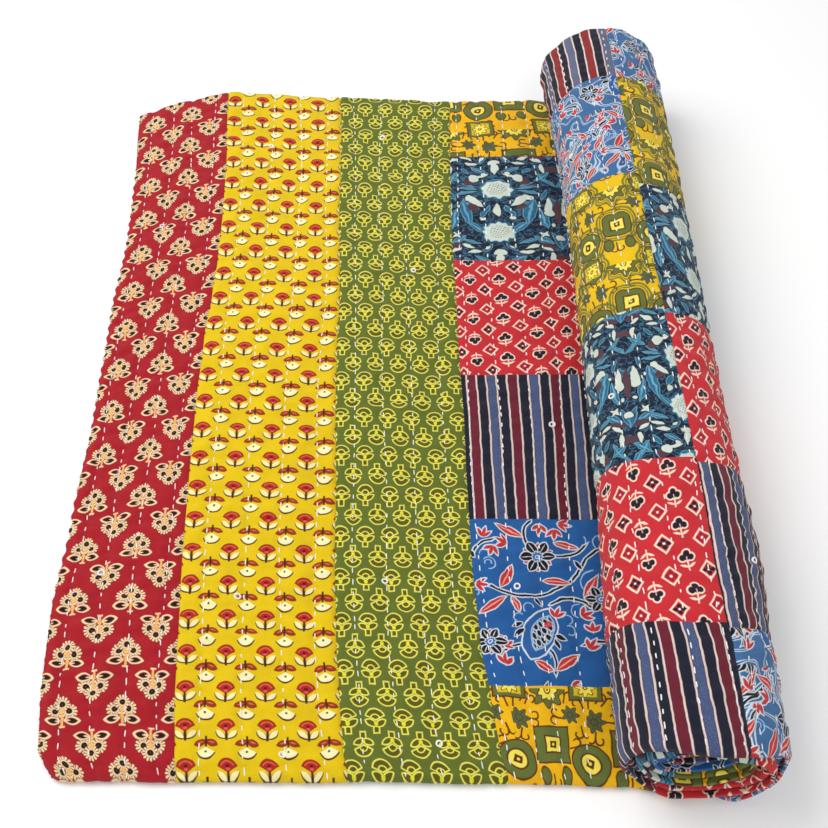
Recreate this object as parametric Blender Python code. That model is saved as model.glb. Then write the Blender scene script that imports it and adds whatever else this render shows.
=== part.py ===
"""Patchwork quilt, folded in three across its length and then rolled up from one end.

Every solid is the same back-and-forth section of three layers, swept along one path.
The path runs flat to the right, then curls up and winds inwards as the roll.
Metres, +Z up, the far side of the folded strip towards +Y.
"""

import bmesh
import bpy
import numpy as np

# Sizes of the cloth
STRIP_WIDTH = 0.775
LAYER_THICK = 0.0029
LAYER_GAP = 0.0008
STACK_THICK = 3 * LAYER_THICK + 2 * LAYER_GAP
RED_WIDTH = 0.1085
YELLOW_WIDTH = 0.1275
GREEN_WIDTH = 0.1250
SEAM_GAP = 0.0004

# Sizes of the roll
ROLL_CENTRE = 0.511
ROLL_MIDDLE = 0.515
ROLL_HALF_WIDTH = 0.0665
ROLL_HALF_HEIGHT = 0.0590
FIRST_PITCH = 0.01155
PITCH_LOSS = 0.0005
TURN_GAP = 0.0010
TURNS = 4.20
LEAST_SAG = 0.00042

# The free edges of the outer layers stand back from the folds
HEM_INSET = 0.0035

# Quilting: lines run front to back, so they cross the path at these spacings
BORDER_LINES = 4
FIELD_LINE_SPACING = 0.0240
LINE_DIP = 0.0008
SEAM_DIP = 0.0007

# Front and back edges of the strip by distance along the path
EDGE_COLUMNS = ("distance", "near", "far")
EDGE_TABLE = (
    (0.000, 0.014, 0.755),
    (0.012, 0.011, 0.758),
    (0.054, 0.010, 0.769),
    (0.108, 0.007, 0.779),
    (0.236, 0.002, 0.768),
    (0.361, -0.004, 0.758),
    (0.400, -0.009, 0.757),
    (0.465, -0.016, 0.757),
    (0.540, -0.022, 0.757),
    (0.608, -0.012, 0.755),
    (0.700, -0.019, 0.759),
    (0.790, 0.001, 0.751),
    (0.875, -0.007, 0.748),
    (0.990, -0.010, 0.752),
    (1.090, -0.004, 0.746),
    (1.190, -0.009, 0.750),
    (1.280, -0.003, 0.753),
    (1.380, -0.008, 0.747),
    (1.560, -0.005, 0.750),
)

# The outer edge of the first border bows in and out along its length
BOW_TABLE = (
    (0.00, 0.003),
    (0.03, -0.006),
    (0.10, -0.010),
    (0.25, -0.007),
    (0.60, 0.005),
    (0.75, 0.013),
    (0.88, 0.013),
    (1.00, 0.010),
)
BOW_REACH = 0.100

# The roll is fuller at its two ends and leans a little to the right towards the back
ROLL_COLUMNS = ("row share", "shift", "stretch", "lift")
ROLL_TABLE = (
    (0.00, -0.009, 1.04, 1.000),
    (0.12, -0.007, 1.04, 1.005),
    (0.35, -0.002, 0.94, 0.990),
    (0.57, 0.004, 0.94, 0.985),
    (0.80, 0.008, 0.95, 0.985),
    (0.95, 0.006, 1.00, 0.985),
    (1.00, 0.005, 1.02, 0.980),
)

# Rows across the strip where the section has points, close to the patch seams
ROWS = (0.112, 0.306, 0.507, 0.703, 0.893)

# How far the outer edges of the lower, middle and upper layer stand back from each other
LAYER_STAND_BACK = (-0.002, 0.003, 0.0)

# Stretches of the path, as name, start, end and colour
FIELD_START = RED_WIDTH + YELLOW_WIDTH + GREEN_WIDTH
PANELS = (
    ("red_border", 0.0, RED_WIDTH, (0.55, 0.03, 0.06, 1.0)),
    ("yellow_border", RED_WIDTH, RED_WIDTH + YELLOW_WIDTH, (0.80, 0.52, 0.02, 1.0)),
    ("green_border", RED_WIDTH + YELLOW_WIDTH, FIELD_START, (0.12, 0.20, 0.04, 1.0)),
)
FIELD_COLOUR = (0.08, 0.14, 0.30, 1.0)


def smooth(value):
    """Eased step of a value or array held between 0 and 1."""
    held = np.clip(value, 0.0, 1.0)
    return held * held * (3.0 - 2.0 * held)


def from_table(table, column, at):
    """Read one column of a table, eased between its rows."""
    keys = np.array([row[0] for row in table])
    values = np.array([row[column] for row in table])
    at = np.clip(at, keys[0], keys[-1])
    spot = np.clip(np.searchsorted(keys, at, side="right") - 1, 0, len(keys) - 2)
    share = (at - keys[spot]) / (keys[spot + 1] - keys[spot])
    return values[spot] + smooth(share) * (values[spot + 1] - values[spot])


def wound(angle):
    """Point of the outer face of the winding at an angle from the bottom of the roll."""
    turn = (angle - np.sin(angle)) / (2.0 * np.pi)
    shrink = FIRST_PITCH * turn - 0.5 * PITCH_LOSS * turn**2
    across = ROLL_CENTRE + (ROLL_HALF_WIDTH - shrink) * np.sin(angle)
    height = ROLL_HALF_HEIGHT - (ROLL_HALF_HEIGHT - shrink) * np.cos(angle)
    return across, height, turn


class Path:
    """The outer or lower face of the folded strip, by distance from its outer edge."""

    def __init__(self):
        """Measure the winding once, finely enough to read any distance from it."""
        self.angles = np.linspace(0.0, TURNS * 2.0 * np.pi, 6001)
        across, height, self.turns = wound(self.angles)
        steps = np.hypot(np.diff(across), np.diff(height))
        self.distances = ROLL_CENTRE + np.concatenate(([0.0], np.cumsum(steps)))
        self.length = float(self.distances[-1])

    def at(self, distance):
        """Point, inward normal, thickness scale and turn at a distance."""
        if distance <= ROLL_CENTRE:
            return (distance, 0.0), (0.0, 1.0), 1.0, 0.0
        angle = float(np.interp(distance, self.distances, self.angles))
        here = wound(angle)
        ahead = wound(angle + 1e-4)
        behind = wound(angle - 1e-4)
        along = np.array((ahead[0] - behind[0], ahead[1] - behind[1]))
        along /= np.linalg.norm(along)
        room = FIRST_PITCH - PITCH_LOSS * (here[2] + 0.5) - TURN_GAP
        ease = float(smooth(here[2] / 0.3))
        scale = 1.0 + ease * (min(room / STACK_THICK, 1.0) - 1.0)
        return (here[0], here[1]), (-along[1], along[0]), scale, here[2]


def section():
    """Outline of the folded section and the ribs that cross its cloth.

    Each point is (row share, offset from that edge, height, layer, side): the row share is
    0 at the near edge and 1 at the far one, and side is 1 on a layer's upper face. A rib is
    a pair of points that face each other through the cloth.
    """
    thick = LAYER_THICK
    gap = LAYER_GAP
    fold = thick + gap / 2.0
    bottom, middle, top = 0.0, thick + gap, 2.0 * (thick + gap)

    def face(level, layer, side, forwards, start, end):
        """One face of a layer, from edge to edge, with its points on the rows."""
        stretch = [(0.0, start)] + [(row, 0.0) for row in ROWS] + [(1.0, -end)]
        run = [(share, offset, level, layer, side) for share, offset in stretch]
        return run if forwards else run[::-1]

    def bend(share, level, layer, turns):
        """The outside of a fold, between the outer faces of two layers."""
        toward = 1.0 if share else -1.0
        angles = np.radians(turns)
        offsets = toward * fold * (np.cos(angles) - 1.0)
        heights = level + fold + fold * np.sin(angles)
        return [(share, offset, height, layer, 0) for offset, height in zip(offsets, heights)]

    def paired(one, other):
        """Two runs of points brought to one length by repeating the shorter one's point."""
        most = max(len(one), len(other))
        return (one * most)[:most] if len(one) == 1 else one, (
            (other * most)[:most] if len(other) == 1 else other
        )

    far_inside = [(1.0, gap / 2.0 - fold, middle - gap / 2.0, 0.5, 0)]
    near_inside = [(0.0, fold - gap / 2.0, top - gap / 2.0, 1.5, 0)]
    runs = (
        (face(bottom, 0, 0, True, HEM_INSET, fold), face(thick, 0, 1, True, HEM_INSET, fold)),
        paired(bend(1.0, bottom, 0.5, (-45.0, 0.0, 45.0)), far_inside),
        (face(middle + thick, 1, 1, False, fold, fold), face(middle, 1, 0, False, fold, fold)),
        paired(near_inside, bend(0.0, middle, 1.5, (-45.0, 0.0, 45.0))),
        (face(top, 2, 0, True, fold, HEM_INSET), face(top + thick, 2, 1, True, fold, HEM_INSET)),
    )
    ribs = [pair for one, other in runs for pair in zip(one, other)]
    first = (0.0, HEM_INSET - 0.0008, bottom + thick / 2.0, 0, 0)
    last = (1.0, 0.0008 - HEM_INSET, top + thick / 2.0, 2, 0)
    loop = list(dict.fromkeys(one for one, other in ribs))
    loop.append(last)
    loop += list(dict.fromkeys(other for one, other in reversed(ribs)))
    loop.append(first)
    spots = {point: spot for spot, point in enumerate(loop)}
    caps = [(spots[ribs[0][0]], spots[ribs[0][1]], spots[first])]
    for here, there in zip(ribs, ribs[1:]):
        corners = (here[0], there[0], there[1], here[1])
        caps.append(tuple(dict.fromkeys(spots[corner] for corner in corners)))
    caps.append((spots[ribs[-1][1]], spots[ribs[-1][0]], spots[last]))
    return loop, caps


def swell(across, share):
    """Height of the flat strip against its plain thickness: it lies a little unevenly."""
    wave = np.sin(11.0 * across + 5.0 * share) + np.sin(23.0 * across - 9.0 * share + 1.3)
    return 1.0 + 0.07 * wave * (1.0 - smooth((across - 0.34) / 0.10))


def placed(path, outline, distance, dip):
    """World points of the outline at one distance along the path."""
    (across, height), normal, scale, turn = path.at(distance)
    near = from_table(EDGE_TABLE, 1, distance)
    far = from_table(EDGE_TABLE, 2, distance)
    on_roll = turn > 0.10
    ring = []
    for share, offset, level, layer, side in outline:
        upper = side == 1 and layer == 2
        lower = side == 0 and layer == 0 and on_roll
        press = -dip if upper else dip if lower else 0.0
        rise = (level + press) * scale
        edge = near + (far - near) * share
        rim = float(smooth(1.0 - distance / 0.012))
        middle = layer * (LAYER_THICK + LAYER_GAP) + LAYER_THICK / 2.0
        rise += 0.45 * rim * (middle - level) * (0.0 if layer in (0.5, 1.5) else 1.0)
        if layer == 0 and side == 0 and not on_roll:
            rise = 0.0
        x = across + normal[0] * rise
        z = height + normal[1] * rise
        bow = from_table(BOW_TABLE, 1, share)
        back = np.interp(layer, (0, 1, 2), LAYER_STAND_BACK)
        x += bow * (1.0 - smooth(distance / BOW_REACH))
        x += back * (1.0 - smooth(distance / 0.060))
        shift = from_table(ROLL_TABLE, 1, share)
        stretch = from_table(ROLL_TABLE, 2, share)
        lift = from_table(ROLL_TABLE, 3, share)
        reach = smooth((x - 0.37) / 0.08)
        x += reach * (shift + (stretch - 1.0) * (x - ROLL_MIDDLE))
        z *= swell(across, share) * (1.0 + reach * (lift - 1.0))
        ring.append((x, edge + offset, z))
    return ring


def border_stops(start, end):
    """Distances and dips of a border panel: its quilting lines and the crowns between."""
    first = start + SEAM_GAP / 2.0
    last = end - SEAM_GAP / 2.0
    spacing = (end - start) / BORDER_LINES
    stops = [(first, SEAM_DIP)]
    if start == 0.0:
        stops = [(0.0, 0.0), (0.0035, 0.0)]
    for line in range(BORDER_LINES):
        if line:
            stops.append((start + line * spacing, 0.0))
        stops.append((start + (line + 0.5) * spacing, LINE_DIP))
    stops.append((last, SEAM_DIP))
    return stops


def field_stops(path):
    """Distances and dips of the patchwork: even quilting lines, then the finer inner turns."""
    stops = [(FIELD_START + SEAM_GAP / 2.0, SEAM_DIP)]
    half = FIELD_LINE_SPACING / 2.0
    count = 1
    distance = FIELD_START + half
    while path.at(distance)[3] < 1.06:
        stops.append((distance, LINE_DIP if count % 2 else 0.0))
        count += 1
        distance = FIELD_START + count * half
    while distance < path.length - 0.003:
        stops.append((distance, 0.0))
        turn = path.at(distance)[3]
        shrink = FIRST_PITCH * turn - 0.5 * PITCH_LOSS * turn**2
        radius = ROLL_HALF_HEIGHT - shrink
        distance += np.sqrt(8.0 * radius * LEAST_SAG)
    stops.append((path.length, 0.0))
    return stops


def solid_from(name, rings, caps, colour):
    """Closed solid of one panel, with its own material."""
    count = len(rings[0])
    mesh = bpy.data.meshes.new(name)
    work = bmesh.new()
    rows = [[work.verts.new(point) for point in ring] for ring in rings]
    for here, there in zip(rows, rows[1:]):
        for spot in range(count):
            after = (spot + 1) % count
            work.faces.new((here[after], here[spot], there[spot], there[after]))
    for corners in caps:
        work.faces.new([rows[0][spot] for spot in reversed(corners)])
        work.faces.new([rows[-1][spot] for spot in corners])
    bmesh.ops.triangulate(work, faces=work.faces[:])
    bmesh.ops.recalc_face_normals(work, faces=work.faces[:])
    if work.calc_volume(signed=True) < 0.0:
        bmesh.ops.reverse_faces(work, faces=work.faces[:])
    work.to_mesh(mesh)
    work.free()
    thing = bpy.data.objects.new(name, mesh)
    bpy.context.scene.collection.objects.link(thing)
    material = bpy.data.materials.new(name + "_cotton")
    material.use_nodes = True
    shader = material.node_tree.nodes["Principled BSDF"]
    shader.inputs["Base Color"].default_value = colour
    shader.inputs["Roughness"].default_value = 0.9
    mesh.materials.append(material)
    return thing


def main():
    """Build the four solids, centred over the origin and resting on Z = 0."""
    for thing in list(bpy.data.objects):
        bpy.data.objects.remove(thing, do_unlink=True)
    path = Path()
    outline, caps = section()
    plans = [(name, border_stops(start, end), colour) for name, start, end, colour in PANELS]
    plans.append(("patchwork_field", field_stops(path), FIELD_COLOUR))
    shapes = []
    for name, stops, colour in plans:
        rings = [placed(path, outline, distance, dip) for distance, dip in stops]
        shapes.append((name, np.array(rings), colour))
    everything = np.concatenate([rings.reshape(-1, 3) for name, rings, colour in shapes])
    low = everything.min(axis=0)
    high = everything.max(axis=0)
    centre = np.array(((low[0] + high[0]) / 2.0, (low[1] + high[1]) / 2.0, low[2]))
    for name, rings, colour in shapes:
        moved = [[tuple(point - centre) for point in ring] for ring in rings]
        solid_from(name, moved, caps, colour)


main()
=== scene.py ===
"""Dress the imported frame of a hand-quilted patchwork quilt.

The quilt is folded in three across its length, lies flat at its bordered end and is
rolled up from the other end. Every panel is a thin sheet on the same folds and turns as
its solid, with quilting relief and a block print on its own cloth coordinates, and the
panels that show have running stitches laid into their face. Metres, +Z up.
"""

from __future__ import annotations

import logging
import math
from dataclasses import dataclass
from enum import Enum

import bmesh
import bpy
import numpy as np
from mathutils import Matrix, Vector

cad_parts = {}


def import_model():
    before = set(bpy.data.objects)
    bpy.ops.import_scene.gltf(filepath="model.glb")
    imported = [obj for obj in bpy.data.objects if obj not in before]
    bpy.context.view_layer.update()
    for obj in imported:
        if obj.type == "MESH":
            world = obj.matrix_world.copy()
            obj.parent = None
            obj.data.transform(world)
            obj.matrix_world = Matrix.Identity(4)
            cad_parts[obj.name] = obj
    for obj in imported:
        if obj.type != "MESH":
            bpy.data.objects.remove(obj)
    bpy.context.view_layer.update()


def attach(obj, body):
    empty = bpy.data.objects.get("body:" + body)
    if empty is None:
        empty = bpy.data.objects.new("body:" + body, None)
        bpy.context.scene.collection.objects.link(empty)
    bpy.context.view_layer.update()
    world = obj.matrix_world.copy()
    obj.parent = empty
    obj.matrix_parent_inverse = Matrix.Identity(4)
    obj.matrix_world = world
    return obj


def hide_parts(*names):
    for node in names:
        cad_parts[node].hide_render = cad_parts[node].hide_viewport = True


log = logging.getLogger("quilt")

# The middle of the frame's box, seen from the strip's open end and near edge
ORIGIN = np.array((0.285158, 0.378503, 0.0))
# Widths along the strip, and where each column of patches starts in the field
RED_WIDTH = 0.1085
YELLOW_WIDTH = 0.1275
GREEN_WIDTH = 0.1250
FIELD_START = RED_WIDTH + YELLOW_WIDTH + GREEN_WIDTH
COLUMN_STARTS = (0.0, 0.164, 0.328, 0.480, 0.632, 0.784, 0.936, 1.088)
# Width of the folded strip, and half of a 6 inch patch
STRIP = 0.775
HALF_PATCH = 0.0755

Ink = tuple[int, int, int]


class Visible(Enum):
    """Which face of the folded strip shows along a panel."""

    UPPER = "upper"
    OUTER = "outer"
    NONE = "none"


def eased(value: np.ndarray) -> np.ndarray:
    """Eased step of values held between 0 and 1."""
    held = np.clip(value, 0.0, 1.0)
    return held * held * (3.0 - 2.0 * held)


def from_table(table: tuple, column: int, at: np.ndarray) -> np.ndarray:
    """Read one column of a table, eased between its rows.

    Args:
        table: Rows of numbers, the first of each the key.
        column: The column to read.
        at: Keys at which to read it.

    Returns:
        The values at those keys.
    """
    keys = np.array([row[0] for row in table])
    values = np.array([row[column] for row in table])
    at = np.clip(at, keys[0], keys[-1])
    spot = np.clip(np.searchsorted(keys, at, side="right") - 1, 0, len(keys) - 2)
    share = (at - keys[spot]) / (keys[spot + 1] - keys[spot])
    return values[spot] + eased(share) * (values[spot + 1] - values[spot])


def put(name: str, data: bpy.types.ID) -> bpy.types.Object:
    """Make an object of a mesh, a lamp or a camera and link it to the scene.

    Args:
        name: The object's name.
        data: What it shows.

    Returns:
        The object.
    """
    thing = bpy.data.objects.new(name, data)
    bpy.context.scene.collection.objects.link(thing)
    return thing


@dataclass(frozen=True)
class Winding:
    """The lower or outer face of the folded strip: flat, then wound in over itself.

    Each turn lies first_pitch inside the one before, and pitch_loss less with every turn.
    The stack of layers is squeezed where that, less turn_gap, is too little for it.
    """

    centre: float = 0.511
    half_width: float = 0.0665
    half_height: float = 0.0590
    first_pitch: float = 0.01155
    pitch_loss: float = 0.0005
    turn_gap: float = 0.0010
    turns: float = 4.20
    stack: float = 0.0103

    def point(self, angle: np.ndarray) -> tuple[np.ndarray, np.ndarray, np.ndarray]:
        """Place on the winding at an angle from its bottom.

        Args:
            angle: Angles in radians, growing inwards.

        Returns:
            Across, height and the number of turns wound so far.
        """
        turn = (angle - np.sin(angle)) / (2.0 * np.pi)
        shrink = self.first_pitch * turn - 0.5 * self.pitch_loss * turn**2
        across = self.centre + (self.half_width - shrink) * np.sin(angle)
        height = self.half_height - (self.half_height - shrink) * np.cos(angle)
        return across, height, turn

    def measured(self) -> tuple[np.ndarray, np.ndarray]:
        """Angles of the winding and the distance along the cloth at each."""
        angles = np.linspace(0.0, self.turns * 2.0 * np.pi, 6001)
        across, height, _ = self.point(angles)
        steps = np.hypot(np.diff(across), np.diff(height))
        return angles, self.centre + np.concatenate(([0.0], np.cumsum(steps)))

    def length(self) -> float:
        """Length of the whole strip along the cloth."""
        return float(self.measured()[1][-1])

    def at(self, distance: np.ndarray) -> tuple[np.ndarray, ...]:
        """Read the winding by distance from the quilt's open end.

        Args:
            distance: Distances along the cloth.

        Returns:
            Across, height, the inward normal's two parts, thickness scale and turn.
        """
        angles, distances = self.measured()
        angle = np.interp(distance, distances, angles)
        across, height, turn = self.point(angle)
        ahead = self.point(angle + 1e-4)
        behind = self.point(angle - 1e-4)
        east = ahead[0] - behind[0]
        rise = ahead[1] - behind[1]
        size = np.hypot(east, rise)
        room = self.first_pitch - self.pitch_loss * (turn + 0.5) - self.turn_gap
        ease = eased(turn / 0.3)
        scale = 1.0 + ease * (np.minimum(room / self.stack, 1.0) - 1.0)
        flat = distance <= self.centre
        return (
            np.where(flat, distance, across),
            np.where(flat, 0.0, height),
            np.where(flat, 0.0, -rise / size),
            np.where(flat, 1.0, east / size),
            np.where(flat, 1.0, scale),
            np.where(flat, 0.0, turn),
        )


@dataclass(frozen=True)
class Lie:
    """How the folded and rolled strip lies: its uneven edges and the roll's lean.

    The single numbers say where along or across the strip each form starts, ends or
    fades, and how far it reaches, in metres.
    """

    winding: Winding = Winding()
    bow_length: float = 0.100
    layer_length: float = 0.060
    roll_foot: float = 0.37
    roll_rise: float = 0.08
    roll_middle: float = 0.515
    wave_height: float = 0.07
    slide_start: float = 0.535
    slide_end: float = 0.841
    drift_end: float = 0.500
    wave_end: float = 0.34
    wave_fade: float = 0.10
    roll_start: float = 0.50
    roll_change: float = 0.05
    end_reach: float = 0.018
    lower_back: float = 0.011
    upper_back: float = 0.008
    droop: float = 0.0033
    curl: float = 0.0046
    curl_reach: float = 0.010
    # Distance along the strip, then the near and the far edge across it
    edges: tuple = (
        (0.000, 0.014, 0.757),
        (0.012, 0.011, 0.762),
        (0.054, 0.010, 0.776),
        (0.108, 0.007, 0.787),
        (0.236, 0.002, 0.775),
        (0.361, -0.004, 0.763),
        (0.400, -0.006, 0.762),
        (0.465, -0.010, 0.761),
        (0.505, -0.018, 0.759),
        (0.550, -0.029, 0.757),
        (0.580, -0.025, 0.756),
        (0.620, -0.015, 0.755),
        (0.700, -0.023, 0.759),
        (0.770, -0.010, 0.752),
        (0.815, -0.013, 0.750),
        (0.855, -0.026, 0.748),
        (0.940, -0.028, 0.750),
        (1.000, -0.023, 0.752),
        (1.050, -0.015, 0.748),
        (1.090, -0.012, 0.746),
        (1.160, -0.020, 0.750),
        (1.240, -0.018, 0.753),
        (1.340, -0.012, 0.747),
        (1.560, -0.008, 0.750),
    )
    # Share across the strip, then how far the open end bows along it
    bow: tuple = (
        (0.00, 0.003),
        (0.03, -0.006),
        (0.10, -0.0105),
        (0.20, -0.011),
        (0.30, -0.005),
        (0.45, 0.0025),
        (0.60, 0.006),
        (0.75, 0.013),
        (0.88, 0.013),
        (1.00, 0.010),
    )
    # Share across, then the roll's step sideways, its stretch and its height
    roll: tuple = (
        (0.00, -0.009, 1.04, 1.000),
        (0.12, -0.006, 1.04, 1.005),
        (0.22, -0.001, 1.05, 1.000),
        (0.32, 0.001, 1.01, 0.990),
        (0.42, 0.002, 0.97, 0.987),
        (0.57, 0.005, 0.95, 0.985),
        (0.80, 0.008, 0.95, 0.985),
        (0.95, 0.006, 1.00, 0.985),
        (1.00, 0.005, 1.02, 0.980),
    )
    # How far the lower, middle and upper layer stand back at the open end
    stand_back: tuple = (-0.002, 0.003, 0.0)
    # Share across, then how far the seam after each of the three borders drifts
    drift: tuple = (
        (0.00, -0.005, 0.002, 0.003),
        (0.03, -0.007, -0.001, -0.002),
        (0.09, -0.010, -0.004, -0.0060),
        (0.15, -0.011, -0.0065, -0.0112),
        (0.25, -0.0125, -0.0075, -0.0133),
        (0.35, -0.012, -0.006, -0.0125),
        (0.45, -0.011, -0.0065, -0.0108),
        (0.55, -0.008, -0.0045, -0.0112),
        (0.63, -0.003, -0.0016, -0.0098),
        (0.68, 0.000, -0.0015, -0.0098),
        (0.76, 0.002, -0.002, -0.009),
        (0.85, 0.0025, 0.000, -0.006),
        (0.95, 0.000, 0.001, -0.0025),
        (1.00, 0.000, 0.000, 0.000),
    )
    # Share across, then how far the roll's upper seam slides round the winding
    slide: tuple = (
        (0.00, 0.0110),
        (0.11, 0.0095),
        (0.15, 0.0070),
        (0.20, 0.0030),
        (0.30, 0.0033),
        (0.38, 0.0031),
        (0.45, 0.0018),
        (0.52, -0.0010),
        (0.60, -0.0030),
        (0.68, -0.0040),
        (0.75, -0.0070),
        (1.00, -0.0060),
    )

    def slid(self, distance: np.ndarray, share: np.ndarray) -> np.ndarray:
        """Distance along the strip, with the roll's upper seam slid round it.

        Args:
            distance: Distance along the strip.
            share: Place across the strip.

        Returns:
            The distance at which that cloth lies on the winding.
        """
        seam = FIELD_START + COLUMN_STARTS[2]
        climb = (distance - self.slide_start) / (seam - self.slide_start)
        fall = (self.slide_end - distance) / (self.slide_end - seam)
        part = np.clip(np.minimum(climb, fall), 0.0, 1.0)
        return distance - eased(part) * from_table(self.slide, 1, share)

    def seam_drift(self, distance: np.ndarray, share: np.ndarray) -> np.ndarray:
        """How far the cloth, and its seams with it, lies off its straight place.

        Args:
            distance: Distance along the strip.
            share: Place across the strip.

        Returns:
            Metres to add across.
        """
        stops = (0.0, RED_WIDTH, RED_WIDTH + YELLOW_WIDTH, FIELD_START, self.drift_end)
        total = 0.0
        for column in (1, 2, 3):
            before, here, after = stops[column - 1 : column + 2]
            climb = (distance - before) / (here - before)
            fall = (after - distance) / (after - here)
            part = np.clip(np.minimum(climb, fall), 0.0, 1.0)
            total = total + part * from_table(self.drift, column, share)
        return total

    def settle(
        self, distance: np.ndarray, along: np.ndarray, layer: np.ndarray
    ) -> tuple[np.ndarray, np.ndarray]:
        """How the near ends of the three layers lie over one another.

        On the flat part the folded upper layers droop over the lower hem, and on the roll
        the outer layer curls in over the ends of the other two.

        Args:
            distance: Distance along the strip.
            along: Distance from the near edge.
            layer: 0, 1 or 2 for the lower, middle or upper layer.

        Returns:
            Metres to add away from the near edge, and to the height over the lower face.
        """
        close = 1.0 - eased(along / self.end_reach)
        rolled = eased((distance - self.roll_start) / self.roll_change)
        lower = 1.0 - np.clip(layer * 2.0, 0.0, 1.0)
        upper = 1.0 - lower
        back = close * (self.lower_back * lower * (1.0 - rolled) + self.upper_back * upper * rolled)
        drop = -self.droop * upper * (1.0 - rolled) * close
        curl = self.curl * lower * rolled * (1.0 - eased(along / self.curl_reach))
        return back, drop + curl

    def place(
        self,
        distance: np.ndarray,
        share: np.ndarray,
        offset: np.ndarray,
        rise: np.ndarray,
        layer: np.ndarray,
    ) -> np.ndarray:
        """Put points of the cloth in the object's frame.

        Args:
            distance: Distance along the strip.
            share: Place across the strip, 0 at the near edge and 1 at the far one.
            offset: Metres to add to that place, towards the far edge.
            rise: Height above the strip's lower face, along its normal.
            layer: 0, 1 or 2 for the lower, middle or upper layer.

        Returns:
            Points, in an array with a last axis of three.
        """
        across, height, east, up, scale, _ = self.winding.at(self.slid(distance, share))
        back, lifted = self.settle(distance, share * STRIP + offset, layer)
        offset = offset + back
        rise = rise + lifted
        x = across + east * rise * scale
        z = height + up * rise * scale
        x = x + from_table(self.bow, 1, share) * (1.0 - eased(distance / self.bow_length))
        stand = np.interp(layer, (0, 1, 2), self.stand_back)
        x = x + stand * (1.0 - eased(distance / self.layer_length)) + self.seam_drift(distance, share)
        reach = eased((x - self.roll_foot) / self.roll_rise)
        stretch = from_table(self.roll, 2, share)
        x = x + reach * (from_table(self.roll, 1, share) + (stretch - 1.0) * (x - self.roll_middle))
        wave = np.sin(11.0 * across + 5.0 * share) + np.sin(23.0 * across - 9.0 * share + 1.3)
        fade = 1.0 - eased((across - self.wave_end) / self.wave_fade)
        swell = 1.0 + self.wave_height * wave * fade
        z = z * swell * (1.0 + reach * (from_table(self.roll, 3, share) - 1.0))
        near = from_table(self.edges, 1, distance)
        far = from_table(self.edges, 2, distance)
        y = near + (far - near) * share + offset
        return np.stack(np.broadcast_arrays(x, y, z), axis=-1) - ORIGIN


def hummocks(x: np.ndarray, y: np.ndarray, seed: int, least: float, most: float) -> np.ndarray:
    """Soft uneven ground between about -1 and 1, from seeded waves.

    Args:
        x: Distances one way.
        y: Distances the other way.
        seed: Seed of the waves.
        least: Shortest wave.
        most: Longest wave.

    Returns:
        Heights of the same shape as x and y together.
    """
    random = np.random.default_rng(seed)
    total = 0.0
    for _ in range(14):
        size = least * (most / least) ** random.random()
        heading = random.random() * np.pi
        shift = random.random() * 2.0 * np.pi
        along = x * np.cos(heading) + y * np.sin(heading)
        total = total + np.sin(2.0 * np.pi * along / size + shift)
    return total / 4.5


@dataclass(frozen=True)
class Quilting:
    """Running stitch from the near edge to the far one, and the relief that it pulls."""

    pitch: float = 0.0105
    dash: float = 0.0058
    groove: float = 0.0036
    ripple: float = 0.0085
    seam_groove: float = 0.0016
    lines: tuple = ()
    seams: tuple = ()

    def line_at(self, number: int, along: np.ndarray) -> np.ndarray:
        """Where a hand-sewn line crosses the strip.

        Args:
            number: The line's place in lines.
            along: Distances from the near edge.

        Returns:
            Distances along the strip, wandering by a millimetre or two.
        """
        spot = self.lines[number]
        wander = np.sin(9.0 * along + 41.0 * spot) + 0.7 * np.sin(23.0 * along + 97.0 * spot)
        return spot + 0.0013 * wander

    def phase(self, number: int) -> float:
        """How far a line's first stitch is shifted, in stitches."""
        return (self.lines[number] * 977.0) % 1.0

    def loft(self, distance: np.ndarray, along: np.ndarray) -> np.ndarray:
        """How full the cloth is: about 0 in a stitch and 1 between lines.

        Args:
            distance: Distances along the strip.
            along: Distances from the near edge.

        Returns:
            Fullness from 0 to 1.
        """
        pull = 0.0
        for number in range(len(self.lines)):
            away = np.abs(distance - self.line_at(number, along))
            beat = np.cos(2.0 * np.pi * (along / self.pitch - self.phase(number)))
            groove = np.exp(-((away / self.groove) ** 2)) * (0.66 + 0.34 * beat)
            ripple = np.exp(-away / self.ripple) * 0.20 * beat
            pull = np.maximum(pull, groove) + 0.35 * ripple
        for seam in self.seams:
            away = np.abs(distance - seam)
            pull = np.maximum(pull, 0.8 * np.exp(-((away / self.seam_groove) ** 2)))
        return np.clip(1.0 - pull, 0.0, 1.15)


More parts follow.
